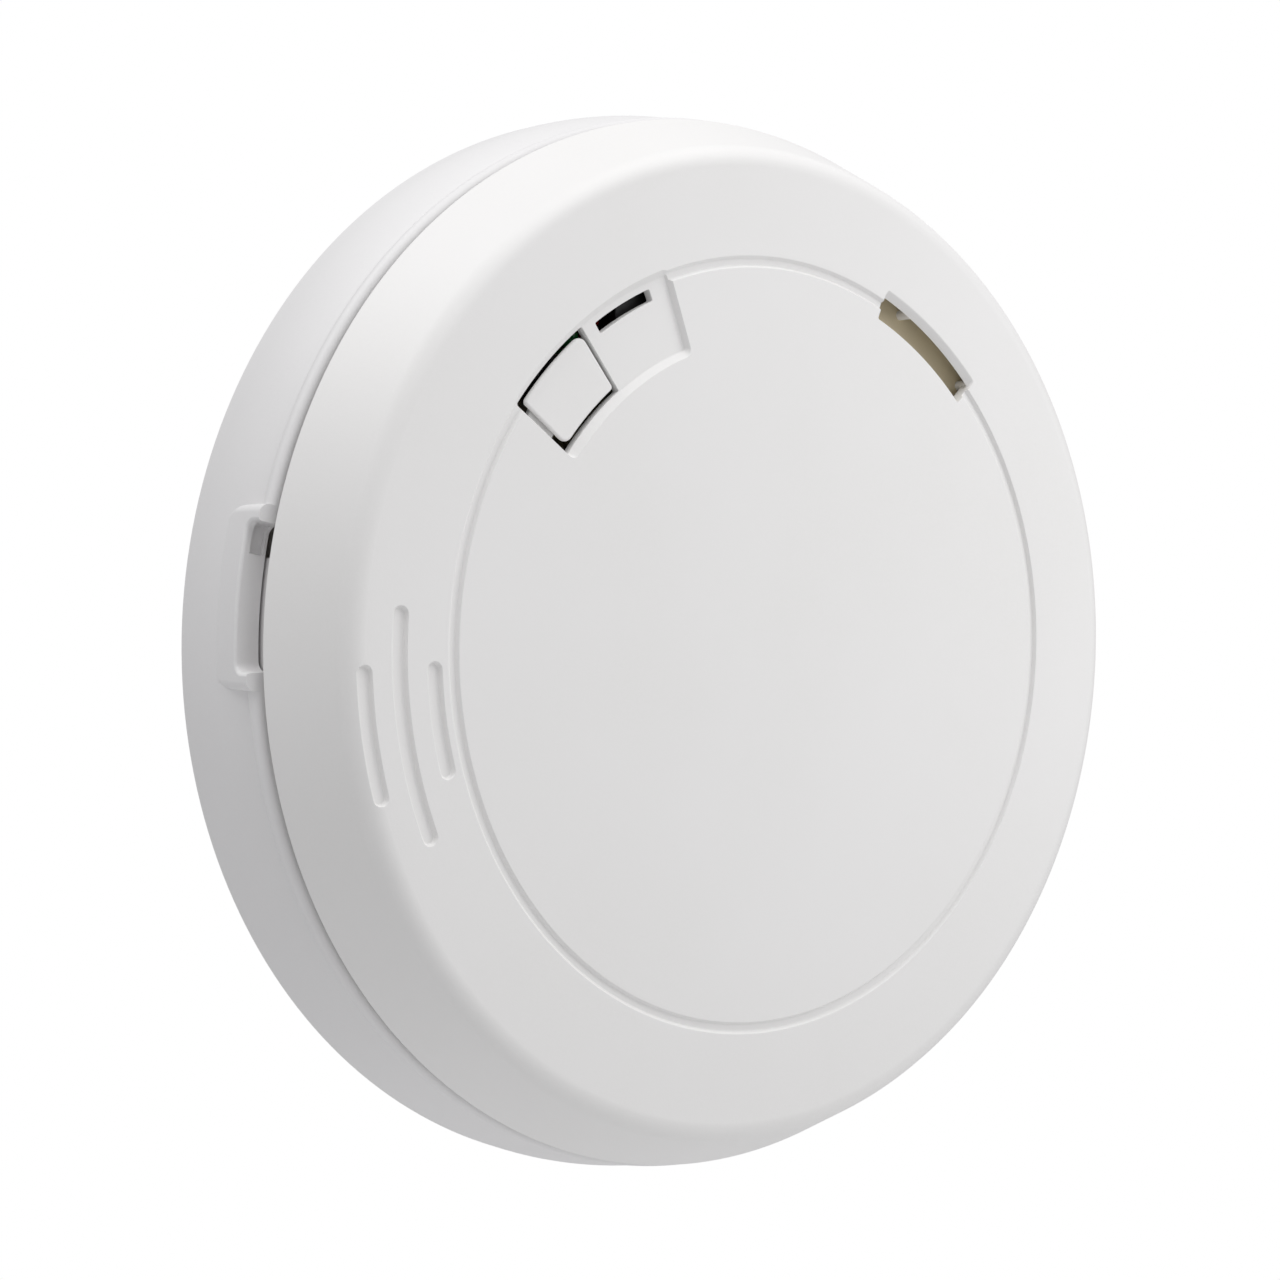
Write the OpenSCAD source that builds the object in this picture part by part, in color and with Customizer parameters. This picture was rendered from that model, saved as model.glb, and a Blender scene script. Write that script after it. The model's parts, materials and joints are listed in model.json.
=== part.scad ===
// Slim round smoke alarm: a twist-on alarm body in a dish-shaped wall bracket.
// Each piece is drawn on the bench, lying on its back: X to the right, Y to its top,
// Z out of the wall, with the origin in the middle of the wall face.
// on_wall() then stands it up, so that the finished object has +Z up and faces -Y.

/* [Overall] */
// Distance from the wall to the front face
total_depth = 27.5; // [25:0.5:34]
// Radius of the front cover at its rear edge
cover_r = 71; // [59:0.5:86]
// How far the bracket stands out past the front cover
bracket_overhang = 2.1; // [1:0.1:4]
// Distance from the wall to the rear edge of the front cover
cover_rear_z = 16.5; // [15:0.1:17.5]

/* [Front cover] */
// Wall of the front cover
cover_wall = 2; // [1.6:0.1:2.4]
// How far the side wall leans in before it meets the face
side_lean = 5.5; // [4:0.1:7]
// Radius of the rounded shoulder
shoulder_r = 3.4; // [2:0.1:4]
// Width of the flat ring around the centre disc, with its shoulder
ring_width = 14.6; // [13:0.1:17]
// Half width of the moulded groove around the centre disc
groove_half_w = 0.95; // [0.6:0.05:1.3]
// Depth of that groove
groove_depth = 0.7; // [0.4:0.05:0.9]
// Half width of the three short grooves on the ring
mark_half_w = 1.15; // [0.8:0.05:1.5]
// Depth of the three short grooves
mark_depth = 0.7; // [0.4:0.05:0.9]
// Distance between neighbouring short grooves
mark_pitch = 4.95; // [4:0.05:5.2]
// Direction of the middle of the short grooves
mark_angle = 188.7; // [180:0.1:200]

/* [Control recess] */
// Depth of the recess that holds the test button
recess_depth = 0.8; // [0.5:0.05:1]
// Radial length of the recess
recess_len = 10; // [9:0.1:11]
// Width of the sloping edge of the recess
recess_slope = 0.9; // [0.5:0.05:1.2]
// Direction of the right edge of the recess
recess_a1 = 110.2; // [105:0.1:112]
// Direction of the left edge of the recess
recess_a2 = 143.5; // [141:0.1:146]
// Direction of the right edge of the button hole
button_a1 = 127.4; // [127:0.1:129]
// Gap around the test button
button_gap = 0.75; // [0.5:0.05:1]
// Gap along the right edge of the test button
button_side_gap = 0.45; // [0.35:0.05:0.6]
// Thickness of the test button
button_t = 1.8; // [1.4:0.1:2]
// Radial length of the button's hinge web
web_len = 4.6; // [3:0.1:5]
// Radius of the button's hinge stubs
stub_r = 0.8; // [0.7:0.05:0.9]
// Running clearance of the hinge stubs
stub_clear = 0.05; // [0.03:0.01:0.1]
// Distance from the hinge to the tactile switch
lever_len = 9.5; // [8:0.1:10]
// Width of the narrow light slot
light_slot_w = 1.35; // [1:0.05:1.6]
// First direction of the light slot
light_slot_a1 = 115; // [113:0.1:117]
// Last direction of the light slot
light_slot_a2 = 125; // [122:0.1:126]

/* [Horn opening] */
// Width of the horn opening
horn_slot_w = 2.65; // [2:0.05:3.2]
// Width of its sloping outer side
horn_flare = 1.7; // [1:0.1:2]
// First direction of the horn opening
horn_slot_a1 = 43.8; // [40:0.1:48]
// Last direction of the horn opening
horn_slot_a2 = 66.3; // [62:0.1:70]
// Thickness of the baffle strip behind the horn opening
baffle_t = 1; // [0.8:0.1:1.2]
// Gap between the cover and the baffle strip
baffle_gap = 1.3; // [1:0.1:1.6]

/* [Wall bracket] */
// Thickness of the bracket's back plate
plate_t = 2; // [1.6:0.1:2.2]
// Wall of the bracket's skirt
skirt_wall = 1.7; // [1.4:0.1:1.8]
// Height of the upright rear part of the skirt
skirt_foot = 3; // [2:0.1:5]
// How far the skirt leans in at its front
skirt_lean = 2.2; // [1.5:0.1:2.3]
// Distance from the wall to the rear of the front bead
bead_z = 12.9; // [11:0.1:13]
// How far the bead stands out from the skirt
bead_out = 0.6; // [0.3:0.05:0.8]
// Shadow gap between the bead and the front cover
shadow_gap = 1.3; // [0.8:0.05:1.6]
// Distance between the two wall slots
slot_spacing = 80; // [70:1:84]
// Overall length of a wall slot
slot_len = 12; // [8:0.5:14]
// Distance between the two round wall holes
hole_spacing = 80; // [70:1:84]
// Radius of the wall holes and half the width of the slots
wall_hole_r = 2.3; // [2:0.1:2.6]
// Half angle of a bayonet hook and of its tab
hook_half_a = 6.5; // [5:0.5:7]
// First direction of the side window
window_a1 = 167.2; // [160:0.1:170]
// Last direction of the side window
window_a2 = 181.8; // [178:0.1:186]
// Rear edge of the side window
window_z = 12.6; // [12:0.1:13]
// How far the raised rim of the window stands out past the bead
rim_out = 0.6; // [0.4:0.05:0.9]
// Width of the rim at each end of the window, in degrees
rim_end_a = 1.8; // [1:0.1:3]

/* [Rear housing] */
// Distance from the wall to the rear of the housing
housing_z = 6.2; // [6.2:0.1:6.4]
// Thickness of the housing's floor
floor_t = 1.8; // [1.4:0.1:1.8]
// Wall of the housing
housing_wall = 1.8; // [1.4:0.1:2]
// Space between the housing and the rear edge of the front cover
housing_inset = 3.8; // [3.6:0.1:4.4]
// Clearance between parts that slide past each other
slide_clear = 0.3; // [0.25:0.05:0.4]
// Travel of the power slider, in degrees around the alarm's middle
slider_travel = 2.4; // [1:0.1:2.6]

/* [Circuit board] */
// Thickness of the board
board_t = 1.6; // [1:0.1:1.6]
// Distance from the wall to the rear of the board
board_z = 17; // [16.6:0.1:17]
// Space between the board's edge and the housing
board_clear = 1.9; // [1:0.1:3]
// Distance from the middle of the alarm to each board screw
board_screw_r = 40; // [36:1:44]

/* [Smoke chamber] */
// Radius of the smoke chamber
chamber_r = 22; // [20:0.5:24]
// Number of light-trap vanes
vane_count = 18; // [12:1:22]

/* [Horn] */
// Outer radius of the horn housing
horn_r = 17; // [15:0.5:18]
// Height of the horn housing
horn_h = 5.8; // [5:0.1:6]
// Radius of the brass sounder disc
disc_r = 13.5; // [11:0.5:14]
// Radius of the ceramic layer on it
ceramic_r = 9.5; // [7:0.5:10]

/* [Battery] */
// Radius of the sealed lithium cell
cell_r = 7.25; // [6.5:0.05:7.3]
// Length of the sealed lithium cell
cell_len = 50.5; // [42:0.5:51]

/* [Hidden] */
$fn = 96;
e = 0.5;   // how far a cutter runs past the face it cuts
lap = 0.1; // how far joined shapes of one piece run into each other

// Front cover
face_z = total_depth;
cover_in_z = face_z - cover_wall;
cover_h = face_z - cover_rear_z;
corner_r = cover_r - side_lean; // where the wall and the face would meet
side_angle = atan2(cover_h, side_lean);
tangent_len = shoulder_r / tan((180 - side_angle) / 2);
face_flat_r = corner_r - tangent_len;
groove_r = corner_r - ring_width;
function cover_in_r(z) = cover_r - cover_wall / sin(side_angle)
    - (z - cover_rear_z) * side_lean / cover_h;

// Control recess, button and slots
recess_r2 = groove_r + 0.2;
recess_r1 = recess_r2 - recess_len;
recess_z = face_z - recess_depth;
hole_r1 = recess_r1 + 0.15; // a thin land is left along the inner edge of the hole
light_slot_r2 = groove_r - 0.75;
light_slot_r1 = light_slot_r2 - light_slot_w;
horn_slot_r2 = groove_r + 0.6;
horn_slot_r1 = horn_slot_r2 - horn_slot_w;
button_r1 = hole_r1 + button_gap;
button_r2 = recess_r2 - button_gap;
button_mid_r = (button_r1 + button_r2) / 2;
function gap_angle(gap, r) = asin(gap / r);
button_right = button_a1 + gap_angle(button_side_gap, button_mid_r);
button_left = recess_a2 - gap_angle(button_gap + 0.15, button_mid_r);
button_rear_z = recess_z - button_t;

// Button hinge: a barrel behind the face, just past the left edge of the recess
hinge_angle = recess_a2 + gap_angle(1.35, button_mid_r);
barrel_r = stub_r + 0.4;
hinge_z = cover_in_z - 0.6;
hinge_skin = 1.1; // cover left over the barrel
ear_t = 1.6;
ear_gap = slide_clear;
barrel_len = web_len + 1;
stub_len = ear_t - 0.4 + ear_gap;

// Bracket
base_r = cover_r + bracket_overhang;
bead_r = base_r - skirt_lean + bead_out;
bead_front_z = cover_rear_z - shadow_gap;
skirt_h = bead_z - skirt_foot;
skirt_arc_r = (skirt_h * skirt_h + skirt_lean * skirt_lean) / (2 * skirt_lean);
skirt_in_r = base_r - skirt_lean - skirt_wall;
rim_r = bead_r + rim_out + 0.4;

// Housing
housing_r = cover_r - housing_inset;
housing_in_r = housing_r - housing_wall;
floor_z = housing_z + floor_t;
housing_rim_z = cover_rear_z + 1.8;

// Bayonet: three hooks on the bracket hold three tabs under the housing
HOOK_ANGLES = [90, 210, 330];
hook_out_r = housing_r - 3.8;
hook_wall = 2;
hook_in_r = hook_out_r - hook_wall;
lip_in_r = hook_in_r - 2.9;
lip_z = 4.4;
hook_z = housing_z - 0.4;
tab_r = hook_in_r - 0.4;
tab_z1 = plate_t + 0.6;
tab_z2 = lip_z - 0.4;
foot_r1 = lip_in_r - 2.5;
foot_r2 = lip_in_r - 0.5;
stop_gap_a = 0.4;
stop_a = 1.2;

// Board
board_top_z = board_z + board_t;
board_r = housing_in_r - board_clear;
BOARD_SCREW_ANGLES = [-20, 100, 200];
board_hole_r = 1.2;

// Cover screws
BOSS_ANGLES = [20, 100, 235, 305];
post_r = 3.8;
boss_r = 3.2;
boss_at_r = housing_in_r - post_r - 0.8;
screw_r = 1.3;
screw_head_r = 2.6;
screw_head_z1 = housing_z + 0.15;
screw_head_z2 = screw_head_z1 + 2;
post_top_z = board_z + 1;
boss_bottom_z = post_top_z + 0.3;

// Cell: as far down as the housing lets it go
cell_z = floor_z + slide_clear + cell_r;
tab_t = 0.3;
cell_half = cell_len / 2 + 0.05;
cell_reach = housing_in_r - 2;
cell_y = -(sqrt(cell_reach * cell_reach - pow(cell_half + 2, 2)) - cell_r);
board_cut_y = cell_y + cell_r + 1.5;

// Smoke chamber: behind the board, just above the cell
chamber_x = -8;
chamber_y = cell_y + cell_r + 3 + chamber_r;
chamber_z1 = floor_z + 0.2;
chamber_z2 = chamber_z1 + 1.4;
chamber_z4 = board_z - 0.2;
chamber_z3 = chamber_z4 - 1.4;
screen_t = 0.35;
sensor_r = 1.5;
sensor_z = (chamber_z2 + chamber_z3) / 2;
sensor_at_r = 7;
SENSOR_ANGLES = [20, 155];
lead_pitch = 1.27;
lead_r = 0.25;

// Horn: on the board, between its middle and the horn opening
horn_angle = (horn_slot_a1 + horn_slot_a2) / 2;
horn_at_r = horn_slot_r1 - 4 - horn_r;
horn_wall = 1.2;
horn_ledge_z = board_top_z + 1.7;
disc_t = 0.2;

// Horn baffle: a strip close behind the horn opening, held on two pegs of the cover
baffle_z2 = cover_in_z - baffle_gap;
baffle_z1 = baffle_z2 - baffle_t;
baffle_r1 = horn_slot_r1 - 2.4;
baffle_r2 = horn_slot_r2 + 4;
baffle_peg_r = 0.5;
baffle_peg_at_r = horn_slot_r2 + 1.7;
BAFFLE_PEGS = [horn_slot_a1 - 0.4, horn_slot_a2 - 6.7];

// Pegs that place the board's edge
PEGS = [[horn_slot_r2 + 6.4, horn_angle + 0.6], [horn_slot_r2 + 7, horn_angle - 14.6]];
peg_r = 0.8;

// Tactile switch under the button
tact_w = 6;
tact_h = 3.6;
tact_top_z = board_top_z + tact_h;
plunger_r = 1.7;
plunger_z1 = tact_top_z - 0.3;
plunger_z2 = tact_top_z + 1;
post_gap = 0.08;

// Power slider: it slides round the housing behind the bracket's side window
slider_a1 = window_a1 + 0.7 + slider_travel;
slider_a2 = window_a2 + 2.2;
slider_mid = (slider_a1 + slider_a2) / 2 - 0.1;
slider_z1 = window_z - 2.3;
slider_z2 = bead_front_z - 0.2;
slider_mid_z = (slider_z1 + slider_z2) / 2;
slider_r1 = housing_r + slide_clear;
slider_r2 = skirt_in_r - slide_clear;
stem_half_a = 2.2;
stem_half_h = 1;
finger_half_a = 0.7;
finger_half_h = 0.5;
finger_r = housing_in_r - 5;
slider_slack_a = 0.3;

// A ring, or part of one, with a square section
module ring(r1, r2, z1, z2, a1 = 0, a2 = 360) {
    rotate([0, 0, a1])
        rotate_extrude(angle = a2 - a1)
            translate([r1, z1])
                square([r2 - r1, z2 - z1]);
}

// A round bar along Z
module bar(r, z1, z2) {
    translate([0, 0, z1])
        cylinder(r = r, h = z2 - z1);
}

// A box that is centred in X and Y and stands on z1
module slab(w, d, z1, z2) {
    translate([-w / 2, -d / 2, z1])
        cube([w, d, z2 - z1]);
}

// Moves its children to a radius and a direction
module at_polar(r, a) {
    rotate([0, 0, a])
        translate([r, 0, 0])
            children();
}

// Stands a piece up against the wall
module on_wall() {
    rotate([90, 0, 0])
        children();
}

// Puts its children in the frame of the button hinge: X along its pin, -Y to the button
module at_hinge() {
    at_polar(button_mid_r, hinge_angle)
        children();
}

module at_tact() {
    at_hinge()
        translate([0, -lever_len, 0])
            children();
}

module at_horn() {
    at_polar(horn_at_r, horn_angle)
        children();
}

module at_chamber() {
    translate([chamber_x, chamber_y, 0])
        children();
}

// A short curved groove with round ends, cut into the face
module face_mark(r, half_a) {
    side = 0.97 * mark_half_w; // a little inside the round ends, so that they cross cleanly
    ring(r - side, r + side, face_z - mark_depth, face_z + e,
         mark_angle - half_a, mark_angle + half_a);
    for (end = [-1, 1])
        at_polar(r, mark_angle + end * half_a)
            bar(mark_half_w, face_z - mark_depth, face_z + e);
}

// Half section of the cover's outer shape: straight side, round shoulder, flat face
module cover_section() {
    wall_x = corner_r + tangent_len * cos(side_angle);
    wall_y = face_z - tangent_len * sin(side_angle);
    polygon([[0, cover_rear_z], [cover_r, cover_rear_z], [wall_x, wall_y],
             [face_flat_r, face_z], [0, face_z]]);
    translate([face_flat_r, face_z - shoulder_r])
        circle(r = shoulder_r);
}

module cover_hollow_section() {
    polygon([[0, cover_rear_z - e], [cover_in_r(cover_rear_z - e), cover_rear_z - e],
             [cover_in_r(cover_in_z), cover_in_z], [0, cover_in_z]]);
}

// Half section of the V groove around the centre disc
module groove_section() {
    steep = groove_half_w / groove_depth;
    polygon([[groove_r, face_z - groove_depth],
             [groove_r + groove_half_w + e * steep, face_z + e],
             [groove_r - groove_half_w - e * steep, face_z + e]]);
}

module recess_cut() {
    rotate([0, 0, recess_a1])
        rotate_extrude(angle = recess_a2 - recess_a1)
            polygon([[recess_r1, recess_z], [recess_r2, recess_z], [recess_r2, face_z + e],
                     [recess_r1 - recess_slope, face_z + e],
                     [recess_r1 - recess_slope, face_z]]);
}

module horn_cut() {
    rotate([0, 0, horn_slot_a1])
        rotate_extrude(angle = horn_slot_a2 - horn_slot_a1)
            polygon([[horn_slot_r1, cover_in_z - e], [horn_slot_r2, cover_in_z - e],
                     [horn_slot_r2, cover_in_z], [horn_slot_r2 + horn_flare, face_z],
                     [horn_slot_r2 + horn_flare, face_z + e], [horn_slot_r1, face_z + e]]);
}

module front_cover() {
    color("#efeeec") on_wall() difference() {
        union() {
            difference() {
                rotate_extrude() cover_section();
                rotate_extrude() cover_hollow_section();
            }
            for (a = BOSS_ANGLES)
                at_polar(boss_at_r, a)
                    bar(boss_r, boss_bottom_z, cover_in_z + lap);
            at_hinge()
                for (side = [-1, 1])
                    translate([side * (barrel_len / 2 + ear_gap + ear_t / 2), 0, 0])
                        slab(ear_t, 3.6, hinge_z - 2, cover_in_z + lap);
            for (a = BAFFLE_PEGS)
                baffle_peg(a);
        }
        for (a = BOSS_ANGLES)
            at_polar(boss_at_r, a)
                bar(screw_r + 0.05, boss_bottom_z - e, cover_in_z - 1.1);
        rotate_extrude() groove_section();
        face_mark(groove_r + 2.8, 7.7);
        face_mark(groove_r + 2.8 + mark_pitch, 14.4);
        face_mark(groove_r + 2.8 + 2 * mark_pitch, 7.7);
        recess_cut();
        ring(hole_r1, recess_r2, cover_in_z - e, face_z + e, button_a1, recess_a2);
        ring(light_slot_r1, light_slot_r2, cover_in_z - e, face_z + e,
             light_slot_a1, light_slot_a2);
        horn_cut();
        // Room for the hinge web and barrel behind the face
        at_hinge() {
            translate([0, -0.95, 0])
                slab(barrel_len + 2 * ear_gap, 5.3, cover_in_z - lap, face_z - hinge_skin);
            translate([-(barrel_len + 2 * ear_gap + 3 * ear_t) / 2, 0, hinge_z])
                rotate([0, 90, 0])
                    cylinder(r = stub_r + stub_clear, h = barrel_len + 2 * ear_gap + 3 * ear_t);
        }
    }
}

module test_button() {
    color("#f1f0ee") on_wall() {
        ring(button_r1, button_r2, button_rear_z, recess_z, button_right, button_left);
        at_tact()
            bar(1.5, plunger_z2 + post_gap, button_rear_z + lap);
        at_hinge() {
            translate([-barrel_len / 2, 0, hinge_z])
                rotate([0, 90, 0])
                    cylinder(r = barrel_r, h = barrel_len);
            translate([-barrel_len / 2 - stub_len, 0, hinge_z])
                rotate([0, 90, 0])
                    cylinder(r = stub_r, h = barrel_len + 2 * stub_len);
            translate([-web_len / 2, -3, hinge_z])
                cube([web_len, 3, 1]);
        }
    }
}

// Half section of the skirt: upright foot, inward curve and a half-round bead
module skirt_section() {
    bead_half = (bead_front_z - bead_z) / 2;
    difference() {
        union() {
            square([base_r, skirt_foot]);
            intersection() {
                translate([base_r - skirt_arc_r, skirt_foot])
                    circle(r = skirt_arc_r, $fn = 360);
                translate([0, skirt_foot - lap])
                    square([base_r + e, skirt_h + lap]);
            }
            translate([0, bead_z - lap])
                square([bead_r - bead_half, bead_front_z - bead_z + lap]);
            translate([bead_r - bead_half, bead_z + bead_half])
                circle(r = bead_half);
        }
        polygon([[-e, -e], [base_r - skirt_wall, -e], [base_r - skirt_wall, skirt_foot],
                 [skirt_in_r, bead_z], [skirt_in_r, bead_front_z + e],
                 [-e, bead_front_z + e]]);
    }
}

module wall_slot(x) {
    reach = slot_len / 2 - wall_hole_r;
    translate([x, 0, 0]) {
        slab(2 * reach, 2 * wall_hole_r, -e, plate_t + e);
        for (side = [-1, 1])
            translate([side * reach, 0, 0])
                bar(wall_hole_r, -e, plate_t + e);
    }
}

module bayonet_hook() {
    stop_a1 = -hook_half_a - stop_gap_a - stop_a;
    ring(hook_in_r, hook_out_r, plate_t - lap, hook_z, stop_a1, hook_half_a);
    ring(lip_in_r, hook_in_r + lap, lip_z, hook_z, stop_a1, hook_half_a);
    ring(lip_in_r, hook_in_r + lap, plate_t - lap, hook_z, stop_a1, stop_a1 + stop_a);
}

module mounting_bracket() {
    color("#e4e2df") on_wall() difference() {
        union() {
            bar(base_r - skirt_wall + lap, 0, plate_t);
            rotate_extrude() skirt_section();
            ring(skirt_in_r + skirt_wall / 3, rim_r, skirt_foot + 2, bead_front_z,
                 window_a1 - rim_end_a, window_a2 + rim_end_a);
            for (a = HOOK_ANGLES)
                rotate([0, 0, a]) bayonet_hook();
        }
        ring(skirt_in_r - 2, rim_r + 2, window_z, bead_front_z + e, window_a1, window_a2);
        for (side = [-1, 1]) {
            wall_slot(side * slot_spacing / 2);
            translate([0, side * hole_spacing / 2, 0])
                bar(wall_hole_r, -e, plate_t + e);
        }
    }
}

module bayonet_foot() {
    ring(foot_r1, foot_r2, tab_z1, housing_z + lap, -hook_half_a, hook_half_a);
    ring(foot_r2 - lap, tab_r, tab_z1, tab_z2, -hook_half_a, hook_half_a);
}

module rear_housing() {
    color("#dcdad6") on_wall() difference() {
        union() {
            bar(housing_r, housing_z, floor_z);
            ring(housing_in_r, housing_r, floor_z - lap, housing_rim_z);
            for (a = HOOK_ANGLES)
                rotate([0, 0, a]) bayonet_foot();
            for (a = BOSS_ANGLES)
                at_polar(boss_at_r, a)
                    bar(post_r, floor_z - lap, post_top_z);
            for (a = BOARD_SCREW_ANGLES)
                at_polar(board_screw_r, a)
                    bar(2.8, floor_z - lap, board_z);
            for (peg = PEGS)
                at_polar(peg[0], peg[1])
                    bar(peg_r, floor_z - lap, board_top_z + 1);
        }
        for (a = BOSS_ANGLES)
            at_polar(boss_at_r, a) {
                bar(screw_head_r + 0.3, housing_z - e, screw_head_z2);
                bar(screw_r + 0.3, housing_z, post_top_z + e);
            }
        for (a = BOARD_SCREW_ANGLES)
            at_polar(board_screw_r, a)
                bar(1.05, floor_z + 2, board_z + e);
        // Smoke inlets all round, except at the power slider
        for (i = [0 : 35])
            if (abs(i * 10 - slider_mid) > 15)
                ring(housing_in_r - 1, housing_r + 1, floor_z + 3.4, floor_z + 7.6,
                     i * 10 - 2.5, i * 10 + 2.5);
        ring(housing_in_r - 1, housing_r + 1, slider_mid_z - stem_half_h - slide_clear,
             slider_mid_z + stem_half_h + slide_clear,
             slider_mid - stem_half_a - slider_travel - slider_slack_a,
             slider_mid + stem_half_a + slider_slack_a);
        translate([0, 8, 0])
            slab(60, 30, housing_z - e, housing_z + 0.3);
    }
}

module rating_label() {
    color("#d8d8d4") on_wall()
        translate([0, 8, 0])
            slab(58.8, 28.8, housing_z + 0.1, housing_z + 0.3);
}

module circuit_board() {
    color("#8f8166") on_wall() difference() {
        bar(board_r, board_z, board_top_z);
        translate([0, board_cut_y - board_r, 0])
            slab(3 * board_r, 2 * board_r, board_z - e, board_top_z + e);
        for (a = BOSS_ANGLES)
            at_polar(boss_at_r, a)
                bar(post_r + 0.5, board_z - e, board_top_z + e);
        for (a = BOARD_SCREW_ANGLES)
            at_polar(board_screw_r, a)
                bar(board_hole_r, board_z - e, board_top_z + e);
        for (peg = PEGS)
            at_polar(peg[0], peg[1])
                bar(peg_r + 0.1, board_z - e, board_top_z + e);
        at_chamber()
            for (a = SENSOR_ANGLES)
                at_polar(sensor_at_r + 5, a)
                    for (side = [-1, 1])
                        translate([0, side * lead_pitch, 0])
                            bar(lead_r + 0.2, board_z - e, board_top_z + e);
    }
}

module smoke_chamber_base() {
    vane_r1 = chamber_r - 6.4;
    color("#26272a") on_wall() at_chamber() {
        bar(chamber_r, chamber_z1, chamber_z2);
        for (i = [0 : vane_count - 1])
            at_polar(vane_r1 + 2.6, i * 360 / vane_count)
                rotate([0, 0, 35])
                    slab(5, 0.9, chamber_z2 - lap, chamber_z3);
        for (a = SENSOR_ANGLES)
            at_polar(sensor_at_r + 2.2, a)
                slab(1.6, 5, chamber_z2 - lap, sensor_z - sensor_r - 0.05);
    }
}

module smoke_chamber_cap() {
    color("#2b2c2f") on_wall() at_chamber() difference() {
        union() {
            bar(chamber_r, chamber_z3, chamber_z4);
            ring(chamber_r - 1.3, chamber_r, chamber_z3 - 0.8, chamber_z3 + lap);
        }
        for (a = SENSOR_ANGLES)
            at_polar(sensor_at_r + 5, a)
                for (side = [-1, 1])
                    translate([0, side * lead_pitch, 0])
                        bar(lead_r + 0.2, chamber_z3 - e, chamber_z4 + e);
        // Seat for the top edge of the screen
        ring(chamber_r - 0.7 - screen_t, chamber_r - 0.5, chamber_z3 - 1, chamber_z3);
    }
}

module insect_screen() {
    color("#a9acae") on_wall() at_chamber()
        ring(chamber_r - 0.6 - screen_t, chamber_r - 0.6, chamber_z2, chamber_z3);
}

// A small lens package that lies towards the middle of the chamber, with two leads
module sensor(a) {
    at_polar(sensor_at_r, a) {
        translate([0, 0, sensor_z])
            rotate([0, 90, 0])
                cylinder(r = sensor_r, h = 4.4);
        translate([0, 0, sensor_z])
            sphere(r = sensor_r);
        translate([4.4 - lap, 0, sensor_z])
            rotate([0, 90, 0])
                cylinder(r = sensor_r + 0.3, h = 0.9);
        for (side = [-1, 1])
            translate([5, side * lead_pitch, 0])
                bar(lead_r, sensor_z, board_top_z + 0.4);
    }
}

module infrared_led() {
    color("#c9cfe0") on_wall() at_chamber() sensor(SENSOR_ANGLES[0]);
}

module photodiode() {
    color("#33343c") on_wall() at_chamber() sensor(SENSOR_ANGLES[1]);
}

module receiver_shield() {
    color("#b9bcbf") on_wall() translate([-27, -10, 0]) difference() {
        slab(12, 9, board_top_z, board_top_z + 3.5);
        slab(11.4, 8.4, board_top_z - e, board_top_z + 3.2);
    }
}

module horn_housing() {
    top_z = board_top_z + horn_h;
    color("#232427") on_wall() at_horn() {
        difference() {
            bar(horn_r, board_top_z, top_z);
            bar(horn_r - horn_wall, board_top_z - e, top_z - horn_wall);
            bar(3.5, board_top_z - e, top_z + e);
        }
        ring(disc_r - 3, disc_r - 2, board_top_z, horn_ledge_z);
        for (i = [0 : 2])
            at_polar((disc_r - 2 + horn_r - horn_wall) / 2, i * 120 + 60)
                slab(horn_r - horn_wall - disc_r + 2 + 2 * lap, 1,
                     board_top_z, board_top_z + 1);
    }
}

// One peg of the cover: its shoulder, its pin and its flattened head
module baffle_peg(a) {
    at_polar(baffle_peg_at_r, a) {
        bar(baffle_peg_r + 0.4, baffle_z2, cover_in_z + lap);
        bar(baffle_peg_r, baffle_z1 - 0.4, baffle_z2 + lap);
        bar(baffle_peg_r + 0.3, baffle_z1 - 0.4, baffle_z1);
    }
}

module horn_baffle() {
    color("#8f8166") on_wall() difference() {
        ring(baffle_r1, baffle_r2, baffle_z1, baffle_z2, horn_slot_a1 - 3.5, horn_slot_a2 + 2);
        for (a = BAFFLE_PEGS)
            at_polar(baffle_peg_at_r, a)
                bar(baffle_peg_r + 0.05, baffle_z1 - e, baffle_z2 + e);
    }
}

module piezo_disc() {
    color("#c9a24a") on_wall() at_horn()
        bar(disc_r, horn_ledge_z, horn_ledge_z + disc_t);
}

module piezo_ceramic() {
    color("#d9d6cc") on_wall() at_horn()
        bar(ceramic_r, horn_ledge_z + disc_t, horn_ledge_z + 2 * disc_t);
}

module horn_contacts() {
    color("#c6c2b4") on_wall() at_horn()
        for (place = [[disc_r - 1, 0], [5, 120], [disc_r - 1, 240]])
            at_polar(place[0], place[1]) {
                bar(0.35, board_top_z, horn_ledge_z);
                bar(0.8, board_top_z, board_top_z + 0.4);
            }
}

module lithium_cell() {
    color("#3f6fa0") on_wall() translate([0, cell_y, cell_z]) {
        translate([-cell_len / 2, 0, 0])
            rotate([0, 90, 0])
                cylinder(r = cell_r, h = cell_len - 1);
        translate([cell_len / 2 - 1 - lap, 0, 0])
            rotate([0, 90, 0])
                cylinder(r = 2.8, h = 1 + lap);
    }
}

// A spot-welded strip from the end of the cell to a pad on the board
module battery_tab() {
    pad_y = board_cut_y + 0.6;
    translate([cell_half, cell_y - 2.5, cell_z - 4])
        cube([tab_t, 5, board_top_z + 2.6 - cell_z + 4]);
    translate([cell_half, cell_y, board_top_z + 0.1])
        cube([tab_t, pad_y + 3 - cell_y, 2.5]);
    translate([cell_half - 2.5, pad_y, board_top_z])
        cube([2.5 + tab_t, 3, tab_t]);
}

module battery_tab_positive() {
    color("#bfc1c2") on_wall() battery_tab();
}

module battery_tab_negative() {
    color("#bfc1c2") on_wall() mirror([1, 0, 0]) battery_tab();
}

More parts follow.
